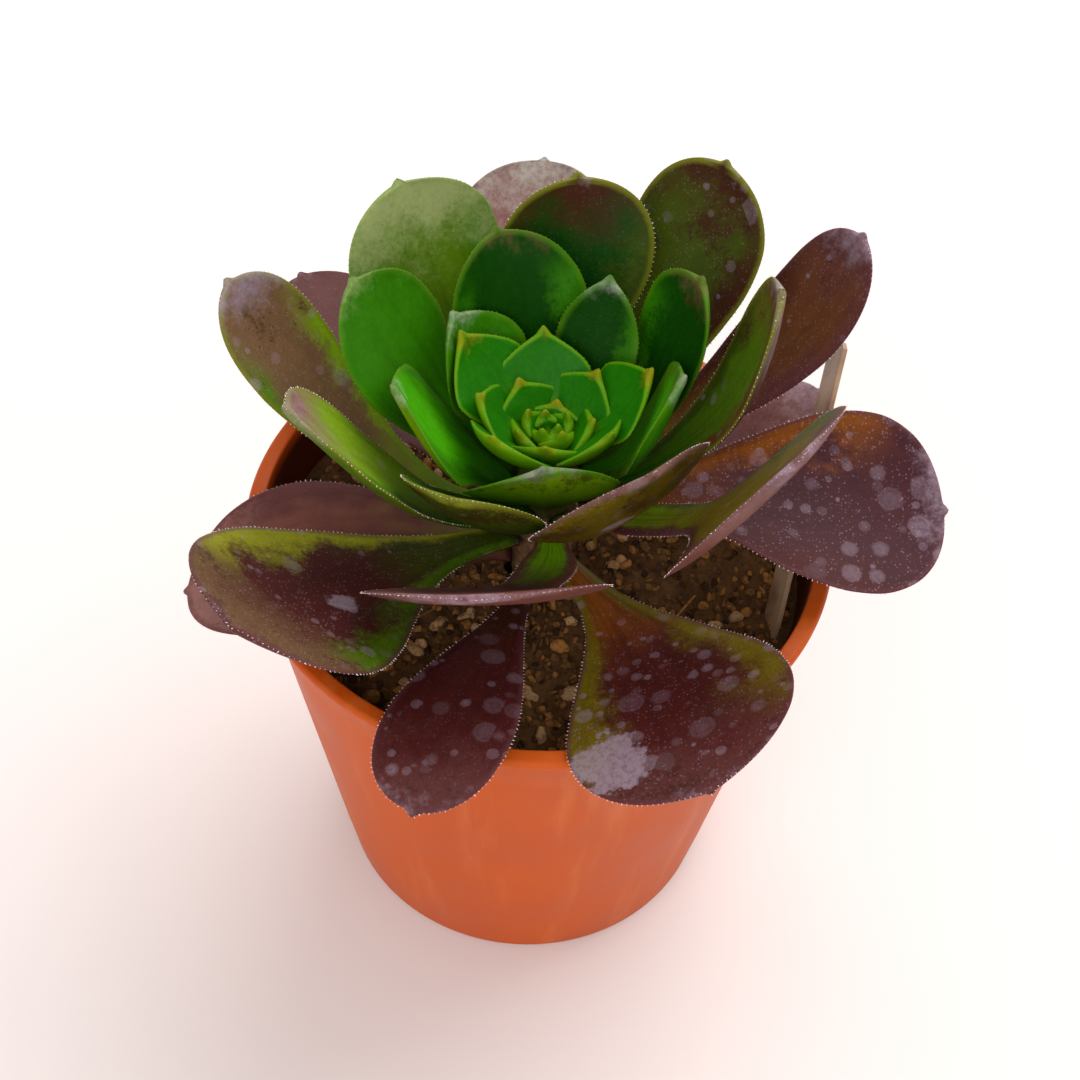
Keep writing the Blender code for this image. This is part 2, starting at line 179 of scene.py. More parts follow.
def own_place(tree):
    """The place on a piece, in the piece's own coordinates."""
    return result(tree, "ShaderNodeTexCoord", output="Object", wrap=Arrows)


def eased(field, start, end, low=0.0, high=1.0):
    """Ease from low to high while the field goes from start to end."""
    inputs = {0: field, "From Min": start, "From Max": end, "To Min": low, "To Max": high}
    return result(field.tree, "ShaderNodeMapRange", inputs, interpolation_type="SMOOTHSTEP")


def noise(tree, scale, detail, roughness=0.5, vector=None):
    """A cloudy value between 0 and 1 over the piece's own coordinates."""
    if vector is None:
        vector = own_place(tree)
    inputs = {"Vector": vector, "Scale": scale, "Detail": detail, "Roughness": roughness}
    return result(tree, "ShaderNodeTexNoise", inputs)


def mixed(factor, first, second, blend="MIX"):
    """The first colour turned towards the second, or multiplied by it, as far as the factor says."""
    inputs = {0: factor, 6: first, 7: second}
    return result(factor.tree, "ShaderNodeMix", inputs, 2, data_type="RGBA", blend_type=blend)


def new_material(name, sockets):
    """A Principled material with plain values on its own sockets."""
    made = bpy.data.materials.new(name)
    made.use_nodes = True
    shader = made.node_tree.nodes["Principled BSDF"]
    for socket, value in sockets.items():
        shader.inputs[socket].default_value = value
    return made


def finish_surface(material, colour, roughness=None, height=None, depth=0.0):
    """Feed what varies over the surface to a material's shader."""
    tree = material.node_tree
    shader = tree.nodes["Principled BSDF"]
    plug(tree, colour, shader.inputs["Base Color"])
    if roughness is not None:
        plug(tree, roughness, shader.inputs["Roughness"])
    if height is not None:
        bump = node(tree, "ShaderNodeBump", {"Distance": depth * MM, "Height": height})
        tree.links.new(bump.outputs[0], shader.inputs["Normal"])


def turned(profile, sides, centre=(0.0, 0.0), height_at=None):
    """Points and faces of a profile turned about a vertical axis, closed by flat ends.

    The profile runs from the lower end up the outside to the upper end, as (radius, height).
    """
    points = []
    for radius, height in profile:
        for side in range(sides):
            angle = 2.0 * math.pi * side / sides
            x = centre[0] + radius * math.cos(angle)
            y = centre[1] + radius * math.sin(angle)
            points.append((x, y, height_at(x, y, height) if height_at else height))
    faces = [tuple(reversed(range(sides)))]
    for ring in range(len(profile) - 1):
        low = ring * sides
        high = low + sides
        for side in range(sides):
            beside = (side + 1) % sides
            faces.append((low + side, low + beside, high + beside, high + side))
    faces.append(tuple(range(len(points) - sides, len(points))))
    return points, faces


def placed(name, data):
    """A new object in the scene."""
    made = bpy.data.objects.new(name, data)
    bpy.context.scene.collection.objects.link(made)
    return made


def new_object(name, points, faces, material=None, sharp_angle=40.0):
    """An object made from points in millimetres."""
    mesh = bpy.data.meshes.new(name)
    mesh.from_pydata([tuple(MM * value for value in point) for point in points], [], faces)
    mesh.shade_smooth()
    mesh.set_sharp_from_angle(angle=math.radians(sharp_angle))
    if material:
        mesh.materials.append(material)
    return placed(name, mesh)


def apply_modifiers(target):
    """Replace the object's mesh with the one that its modifiers make."""
    graph = bpy.context.evaluated_depsgraph_get()
    made = bpy.data.meshes.new_from_object(target.evaluated_get(graph))
    target.modifiers.clear()
    target.data = made


def arc(centre, radius, start, end, steps):
    """Points of an arc in a profile, as (radius, height)."""
    angles = [math.radians(start + (end - start) * step / steps) for step in range(steps + 1)]
    return [(centre[0] + radius * math.cos(a), centre[1] + radius * math.sin(a)) for a in angles]


wall_slope = (POT_WALL_TOP_RADIUS - POT_FOOT_RADIUS) / (POT_HEIGHT - POT_LIP_HEIGHT)


def pot_wall_radius(height):
    """Outer radius of the pot's tapering wall."""
    return POT_FOOT_RADIUS + wall_slope * height


def pot_profile():
    """The pot's outline from the middle of the foot, up the outside and down to the floor."""
    lip_foot = POT_HEIGHT - POT_LIP_HEIGHT
    bead = POT_LIP_HEIGHT / 2.0
    rounding = POT_FOOT_ROUNDING
    inner_top = POT_WALL_TOP_RADIUS - POT_WALL
    floor_edge = pot_wall_radius(POT_FLOOR) - POT_WALL
    outline = arc((POT_FOOT_RADIUS - rounding, rounding), rounding, -90.0, 0.0, 5)
    for band in range(1, POT_BANDS):
        height = lip_foot * band / POT_BANDS
        outline.append((pot_wall_radius(height), height))
    neck = pot_wall_radius(lip_foot)
    outline += [(neck, lip_foot - POT_BEAD_NECK), (neck + POT_BEAD_NECK, lip_foot)]
    outline += arc((POT_LIP_RADIUS - bead, lip_foot + bead), bead, -90.0, 90.0, 12)
    rounding = POT_RIM_ROUNDING
    outline += arc((inner_top + rounding, POT_HEIGHT - rounding), rounding, 90.0, 180.0, 4)
    rounding = POT_FLOOR_ROUNDING
    outline += arc((floor_edge - rounding, POT_FLOOR + rounding), rounding, 0.0, -90.0, 4)
    return outline


pot_plastic = new_material("pot_plastic", {"Roughness": 0.42, "Specular IOR Level": 0.2})
pot_tree = pot_plastic.node_tree
pot_x, pot_y, pot_z = own_place(pot_tree).parts()
drawn_down = arrow(pot_tree, pot_x, pot_y, pot_z * POT_STREAK_STRETCH)
pot_streak = noise(pot_tree, 150.0, 4.0, 0.6, vector=drawn_down)
pot_cloud = noise(pot_tree, 60.0, 3.0)
pot_grain = noise(pot_tree, 1800.0, 2.0)
pot_colour = mixed(eased(pot_cloud, 0.35, 0.7), shade(184, 74, 6), shade(191, 80, 8))
pot_colour = mixed(eased(pot_streak, 0.48, 0.75) * 0.35, pot_colour, shade(212, 124, 66))
# Painted shade: the inner face of the wall below the rim is turned dark maroon, where shade falls inside the
# pot.
from_axis = (pot_x * pot_x + pot_y * pot_y) ** 0.5
under_skin = pot_z * wall_slope + POT_FOOT_RADIUS * MM - from_axis
below_rim = 1.0 - eased(pot_z, POT_INNER_SHADE_TOPS[0] * MM, POT_INNER_SHADE_TOPS[1] * MM)
inner_shade = eased(under_skin, POT_INNER_SHADE_DEPTHS[0] * MM, POT_INNER_SHADE_DEPTHS[1] * MM) * below_rim
pot_colour = mixed(inner_shade * eased(pot_cloud, 0.2, 0.6, 0.8, 0.95), pot_colour, shade(62, 18, 8))
finish_surface(pot_plastic, pot_colour, eased(pot_cloud, 0.3, 0.7, 0.4, 0.5), pot_grain, 0.02)

pot_points, pot_faces = turned(pot_profile(), POT_SIDES)
pot = new_object("pot_wall", pot_points, pot_faces, pot_plastic, sharp_angle=50.0)
for hole in range(DRAIN_HOLES):
    hole_angle = 2.0 * math.pi * hole / DRAIN_HOLES
    hole_centre = (DRAIN_CIRCLE_RADIUS * math.cos(hole_angle), DRAIN_CIRCLE_RADIUS * math.sin(hole_angle))
    drill_profile = [(DRAIN_HOLE_RADIUS, -DRILL_MARGIN), (DRAIN_HOLE_RADIUS, POT_FLOOR + DRILL_MARGIN)]
    drill = new_object("drill", *turned(drill_profile, DRAIN_HOLE_SIDES, hole_centre))
    cut = pot.modifiers.new("drain_hole", "BOOLEAN")
    cut.operation = "DIFFERENCE"
    cut.solver = "EXACT"
    cut.object = drill
    apply_modifiers(pot)
    bpy.data.objects.remove(drill)
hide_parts("pot")
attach(pot, "root")

# Soil
# A peat mix with tan grit, pumice and a few woody fibres, filled in to about 9 mm under the rim. Its
# top is uneven, with a hollow at the right, and loose crumbs and stones lie on it.
CLEARANCE = 0.3
SOIL_HEIGHT = 62.0
SOIL_UNEVENNESS = 0.45
SOIL_WAVES = (0.31, 0.27, 0.20)
SOIL_HOLLOW_DEPTH = 3.0
SOIL_HOLLOW_CENTRE = (27.5, -5.0)
SOIL_HOLLOW_RADIUS = 7.0
SOIL_RINGS = 56
SOIL_SIDES = 176
SOIL_HOLE_DEPTH = 6.3
SOIL_TOP_BAND = 5.0
SOIL_TOP_FACING = 0.3
SOIL_ROUGHNESS = 2.2
SOIL_FINE_ROUGHNESS = 1.0
CHIP_ROUGHNESS = 0.8
ANY_TURN = 6.3
LYING_TURNS = (1.45, 1.7)
SOIL_SEED = 7
CRUMBS_PER_SQUARE_METRE = 520000.0
STONES_PER_SQUARE_METRE = 40000.0
FIBRES_PER_SQUARE_METRE = 12000.0
STEM_RADIUS = 4.4
STEM_CENTRE_X = 0.5


def sockets(kind, *names):
    """Sockets of one kind for a new tree."""
    return [(name, "NodeSocket" + kind) for name in names]


def new_tree(name, kind, inputs, outputs):
    """A node tree or group with named sockets, and its input fields by name."""
    tree = bpy.data.node_groups.new(name, kind)
    for label, socket in inputs:
        tree.interface.new_socket(label, in_out="INPUT", socket_type=socket)
    for label, socket in outputs:
        tree.interface.new_socket(label, in_out="OUTPUT", socket_type=socket)
    entry = tree.nodes.new("NodeGroupInput")
    fields = {}
    for label, socket in inputs:
        wrap = Arrows if socket == "NodeSocketVector" else Field
        fields[label] = wrap(tree, entry.outputs[label])
    return tree, fields


def end_tree(tree, **results):
    """Feed the results to a tree's named outputs."""
    leave = tree.nodes.new("NodeGroupOutput")
    for label, value in results.items():
        plug(tree, value, leave.inputs[label.title()])


def reading(tree, kind):
    """The vector that an input node reads from the geometry."""
    return result(tree, kind, wrap=Arrows)


def through(geometry, kind, inputs=None, **settings):
    """The geometry after a node that takes it at its first input."""
    return result(geometry.tree, kind, {0: geometry, **(inputs or {})}, **settings)


def joined(*pieces):
    """Several geometries as one."""
    tree = pieces[0].tree
    made = tree.nodes.new("GeometryNodeJoinGeometry")
    for piece in reversed(pieces):
        tree.links.new(piece.socket, made.inputs[0])
    return Field(tree, made.outputs[0])


def stored(geometry, name, value, vector=False):
    """Store a number or a vector on the geometry under a name that materials can read."""
    inputs = {"Name": name, "Value": value}
    kind = "FLOAT_VECTOR" if vector else "FLOAT"
    return through(geometry, "GeometryNodeStoreNamedAttribute", inputs, data_type=kind)


def run_tree(name, tree, values, base=None):
    """Run a geometry tree on an object and keep the result as plain mesh."""
    made = placed(name, base or bpy.data.meshes.new(name))
    modifier = made.modifiers.new(tree.name, "NODES")
    modifier.node_group = tree
    for item in tree.interface.items_tree:
        if item.in_out == "INPUT" and item.name in values:
            modifier[item.identifier] = values[item.name]
    apply_modifiers(made)
    return made


def soil_surface(x, y, height):
    """Gently uneven soil: a few low waves and a hollow at the right. Lower points stay put."""
    if height < SOIL_HEIGHT:
        return height
    phases = np.random.default_rng(SOIL_SEED).uniform(0.0, 2.0 * math.pi, 3)
    along = (x, y, x + y)
    waves = sum(math.sin(pace * way + phase) for pace, way, phase in zip(SOIL_WAVES, along, phases))
    away = math.hypot(x - SOIL_HOLLOW_CENTRE[0], y - SOIL_HOLLOW_CENTRE[1]) / SOIL_HOLLOW_RADIUS
    hollow = SOIL_HOLLOW_DEPTH * math.exp(-away * away)
    return height + SOIL_UNEVENNESS * waves / len(SOIL_WAVES) - hollow


def random_value(tree, low, high, seed, vector=False):
    """A random number or vector for each point."""
    kind, first, output = ("FLOAT_VECTOR", 0, 0) if vector else ("FLOAT", 2, 1)
    inputs = {first: low, first + 1: high, "Seed": seed}
    wrap = Arrows if vector else Field
    return result(tree, "FunctionNodeRandomValue", inputs, output, wrap, data_type=kind)


def soil_tree():
    """Soil tree: a crumbly top with crumbs, stones and fibres strewn over it."""
    inputs = sockets("Geometry", "Geometry") + sockets("Material", "Finish")
    inputs += sockets("Float", "Crumbs", "Stones", "Fibres", "Top", "Edge")
    tree, given = new_tree("strewn_soil", "GeometryNodeTree", inputs, sockets("Geometry", "Geometry"))
    place = reading(tree, "GeometryNodeInputPosition")
    across, along, height = place.parts()
    upward = reading(tree, "GeometryNodeInputNormal").parts()[2]
    on_top = height.calc("GREATER_THAN", given["Top"]) * upward.calc("GREATER_THAN", SOIL_TOP_FACING)
    from_axis = (across * across + along * along) ** 0.5
    rough = (noise(tree, 260.0, 3.0, vector=place) - 0.5) * (SOIL_ROUGHNESS * MM)
    fine = (noise(tree, 1100.0, 3.0, 0.7, vector=place) - 0.5) * (SOIL_FINE_ROUGHNESS * MM)
    ground = through(given["Geometry"], "GeometryNodeSetPosition",
                     {"Selection": on_top, "Offset": arrow(tree, z=rough + fine)})
    ground = stored(ground, "tint", noise(tree, 420.0, 2.0, vector=place) * 0.35)
    turn = random_value(tree, (0.0, 0.0, 0.0), (ANY_TURN, ANY_TURN, ANY_TURN), 3, vector=True)
    low, high = LYING_TURNS
    flat_turn = random_value(tree, (low, 0.0, 0.0), (high, 0.0, ANY_TURN), 4, vector=True)
    crumb = result(tree, "GeometryNodeMeshIcoSphere", {"Radius": 0.5 * MM, "Subdivisions": 1})
    stone = result(tree, "GeometryNodeMeshIcoSphere", {"Radius": 0.5 * MM, "Subdivisions": 3})
    fibre = result(tree, "GeometryNodeMeshCone",
                   {"Vertices": 5, "Radius Top": 0.1 * MM, "Radius Bottom": 0.16 * MM, "Depth": 1.0 * MM})
    # A kind of chip: its shape, how many, how it lies, its smallest and largest size, its tints, its
    # seed, and how far it stays from the pot. The shapes are 1 mm long, so a size is in millimetres.
    kinds = [
        (crumb, given["Crumbs"], turn, (0.7, 0.6, 0.5), (2.3, 1.8, 1.4), (0.0, 0.62), 11, 1.0),
        (stone, given["Stones"], turn, (1.4, 1.2, 1.0), (3.6, 2.6, 2.0), (0.45, 1.0), 12, 2.5),
        (fibre, given["Fibres"], flat_turn, (1.0, 1.0, 4.0), (1.6, 1.6, 11.0), (0.3, 0.6), 13, 12.0),
    ]
    layers = []
    for shape, count, turning, smallest, largest, tints, seed, margin in kinds:
        clear = on_top * from_axis.calc("LESS_THAN", given["Edge"] - margin * MM)
        strewn = through(ground, "GeometryNodeDistributePointsOnFaces",
                         {"Selection": clear, "Density": count, "Seed": seed}, distribute_method="RANDOM")
        strewn = stored(strewn, "tint", random_value(tree, tints[0], tints[1], seed + 10))
        size = random_value(tree, smallest, largest, seed + 20, vector=True)
        laid = through(strewn, "GeometryNodeInstanceOnPoints",
                       {"Instance": shape, "Rotation": turning, "Scale": size})
        layers.append(through(laid, "GeometryNodeRealizeInstances"))
    inputs = {"Vector": place, "Scale": 900.0, "Detail": 2.0}
    bumps = result(tree, "ShaderNodeTexNoise", inputs, "Color", Arrows) - (0.5, 0.5, 0.5)
    chips = through(joined(*layers), "GeometryNodeSetPosition", {"Offset": bumps * (CHIP_ROUGHNESS * MM)})
    whole = joined(ground, chips)
    end_tree(tree, geometry=through(whole, "GeometryNodeSetMaterial", {"Material": given["Finish"]}))
    return tree


def painted(tree, name):
    """A number that the mesh carries, read in a material."""
    return result(tree, "ShaderNodeAttribute", output="Fac", attribute_name=name)


peat = new_material("peat", {"Roughness": 0.95, "Specular IOR Level": 0.25})
peat_tree = peat.node_tree
tint = painted(peat_tree, "tint")
speckle = noise(peat_tree, 1500.0, 3.0)
peat_colour = mixed(eased(tint, 0.0, 0.3), shade(56, 34, 17), shade(112, 76, 40))
peat_colour = mixed(eased(tint, 0.36, 0.62), peat_colour, shade(168, 114, 56))
peat_colour = mixed(eased(tint, 0.68, 0.95), peat_colour, shade(192, 152, 108))
peat_colour = mixed(eased(speckle, 0.45, 0.8) * 0.7, peat_colour, shade(52, 32, 16))
finish_surface(peat, peat_colour, height=speckle, depth=0.25)

soil_edge = pot_wall_radius(SOIL_HEIGHT) - POT_WALL - CLEARANCE
soil_hole = STEM_RADIUS + STEM_CENTRE_X + CLEARANCE
soil_floor = POT_FLOOR + CLEARANCE
soil_outline = [(pot_wall_radius(soil_floor) - POT_WALL - CLEARANCE, soil_floor)]
for ring in range(SOIL_RINGS + 1):
    soil_outline.append((soil_edge + (soil_hole - soil_edge) * ring / SOIL_RINGS, SOIL_HEIGHT))
soil_outline.append((soil_hole, SOIL_HEIGHT - SOIL_HOLE_DEPTH))
soil_points, soil_faces = turned(soil_outline, SOIL_SIDES, height_at=soil_surface)
soil_base = new_object("soil_base", soil_points, soil_faces, sharp_angle=60.0)
soil_mesh = soil_base.data
bpy.data.objects.remove(soil_base)
soil_values = {
    "Crumbs": CRUMBS_PER_SQUARE_METRE,
    "Stones": STONES_PER_SQUARE_METRE,
    "Fibres": FIBRES_PER_SQUARE_METRE,
    "Top": (SOIL_HEIGHT - SOIL_TOP_BAND) * MM,
    "Edge": soil_edge * MM,
    "Finish": peat,
}
soil = run_tree("peat_and_grit", soil_tree(), soil_values, soil_mesh)
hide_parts("soil")
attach(soil, "root")

# Label
# A narrow strip of pale plastic without any writing, pushed into the soil. It leans backwards and
# passes under the right-hand leaf. Its solid has the right shape, so it only gets a material.
label_plastic = new_material(
    "label_plastic", {"Roughness": 0.38, "Subsurface Weight": 0.3, "Subsurface Scale": 1.0 * MM})
label_cloud = noise(label_plastic.node_tree, 160.0, 3.0)
label_colour = mixed(eased(label_cloud, 0.4, 0.75), shade(176, 146, 116), shade(128, 96, 70))
finish_surface(label_plastic, label_colour)
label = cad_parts["label"]
label.data.materials.clear()
label.data.materials.append(label_plastic)

# Stem
# A short woody stump in a plain hole in the soil. Its bark is scarred by the feet of old leaves
# and greener towards the top.
STEM_TOP_RADIUS = 3.4
STEM_FOOT_HEIGHT = 56.0
STEM_SHOULDER_HEIGHT = 80.0
STEM_TOP_HEIGHT = 84.5
STEM_RINGS = 48
STEM_SIDES = 64
STEM_SCAR_DEPTH = 0.35
STEM_SCAR_RINGS = 4.0
STEM_FOOT_CHAMFER = 0.3
STEM_GREENING = (72.0, 83.0)

bark = new_material("bark", {"Roughness": 0.8})
bark_tree = bark.node_tree
bark_height = own_place(bark_tree).parts()[2]
bark_cloud = noise(bark_tree, 500.0, 4.0, 0.6)
bark_colour = mixed(eased(bark_cloud, 0.35, 0.7), shade(70, 44, 22), shade(128, 92, 52))
greening = eased(bark_height, STEM_GREENING[0] * MM, STEM_GREENING[1] * MM)
bark_colour = mixed(greening, bark_colour, shade(88, 104, 30))
finish_surface(bark, bark_colour, height=bark_cloud, depth=0.3)

stem_outline = [(STEM_RADIUS - STEM_FOOT_CHAMFER, STEM_FOOT_HEIGHT)]
for ring in range(STEM_RINGS + 1):
    stem_height = STEM_FOOT_HEIGHT + (STEM_SHOULDER_HEIGHT - STEM_FOOT_HEIGHT) * ring / STEM_RINGS
    scar = abs(math.sin(math.pi * ring / STEM_SCAR_RINGS))
    stem_outline.append((STEM_RADIUS - STEM_SCAR_DEPTH * (1.0 - scar), stem_height))
stem_outline.append((STEM_TOP_RADIUS, STEM_TOP_HEIGHT))
stem_points, stem_faces = turned(stem_outline, STEM_SIDES, (STEM_CENTRE_X, 0.0))
stem = new_object("bark_stem", stem_points, stem_faces, bark)
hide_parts("stem")
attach(stem, "root")

# Large leaves
# Fleshy spoon-shaped leaves that leave the stem in a spiral, each one blade with a small point and
# a fringe of fine pale hairs. The old low ones are wine-red to purple with dried water marks, the
# young upright ones green with a yellower margin.
FOOT_GAP = 0.35
FOOT_WIDTH = 4.2
FOOT_THICKNESS = 2.0
FOOT_CUP = 0.3
FOOT_CUP_END = 0.5
FOOT_LENGTH = 0.22
FOOT_THICKNESS_END = 0.4
BLADE_START = 0.12
BLADE_THICKNESS = 1.9
MARGIN_THICKNESS = 0.7
MARGIN_ROUNDING = 6.0
TIP_THINNING = 0.35
TIP_THINNING_START = 0.6
TIP_ROUNDNESS = (2.3, 1.5)
TIP_BLUNTNESS = (2.1, 1.1)
TIP_HALF_WIDTH = 1.3
POINT_LENGTH = 0.8
MIDRIB_PULL = 0.36
ROLL_EASE = 1.3
TIP_GATHERING = 2.2
LEAF_ROWS = 72
LEAF_SIDES = 44
RIB_STEPS = 64
SEED_STEP = 3.7
SWAY_PACE = (4.0, 0.8)
WAVE_PACE = (3.4, 0.9)
WAVE_START = 105.0
WAVE_RISE = (0.25, 0.6)
POINT_RISE = (0.8, 0.95)
MERGE_DISTANCE = 0.004
MARGIN_POINTS = 160
MARGIN_STEP = 0.02
MARGIN_SWAY = 0.07
TIP_CLOSING = 1.2
LEAF_WAVE = 1.2
RIM_WIDTH = 0.9
HAIR_START = 0.2
HAIR_SPACING = 0.7
HAIR_LENGTH = 0.24
GREEN_HAIR_LENGTH = 0.12
HAIR_RADIUS = 0.075
HAIR_TIP_SHARE = 0.2
HAIR_SIZES = (0.55, 1.3)
HAIR_SPREAD = 0.5

# Skin of a leaf, from the foot to the tip, on its left and right flanks as seen from its foot, and
# underneath. waxy_sheen is how far the wax bloom, partly a painted sheen, spreads from the tip, spots the
# share of dried drops, dust the strength of the pale stipple, blush the share covered by brown mottling,
# bloom the colour of what lies on the skin and of the painted sheen, and edge that of the margin. mark
# is the one large dried mark some leaves have: its share of the length, its side and its size.
GREEN = (50, 120, 0)
YOUNG_GREEN = (70, 166, 2)
# A stalk's own pale green, brightened as a painted glow of light shining through it.
BACKLIT_PALE_GREEN = (140, 204, 12)
DEEP_GREEN = (12, 66, 0)
FERN = (82, 118, 6)
MOSS = (64, 80, 4)
LIME = (122, 158, 4)
OLIVE = (108, 92, 10)
AMBER = (134, 72, 14)
BRONZE = (104, 60, 30)
TAUPE = (112, 82, 54)
CHARTREUSE = (150, 150, 0)
DAMSON = (70, 32, 38)
UMBER = (66, 32, 14)
WINE = (76, 28, 26)
PLUM = (96, 52, 50)
ROSEWOOD = (122, 72, 62)
MAUVE = (142, 98, 92)
LILAC = (164, 144, 160)
ASH = (178, 176, 166)
SAGE = (142, 154, 96)
LIME_EDGE = (70, 120, 4)
OLIVE_EDGE = (112, 116, 20)
PLUM_EDGE = (88, 46, 50)
ROSE_EDGE = (108, 72, 72)
Skin = namedtuple("Skin", "foot body tip left right under waxy spots dust blush bloom edge mark",
                  defaults=((0.5, 0.0, 0.0),))

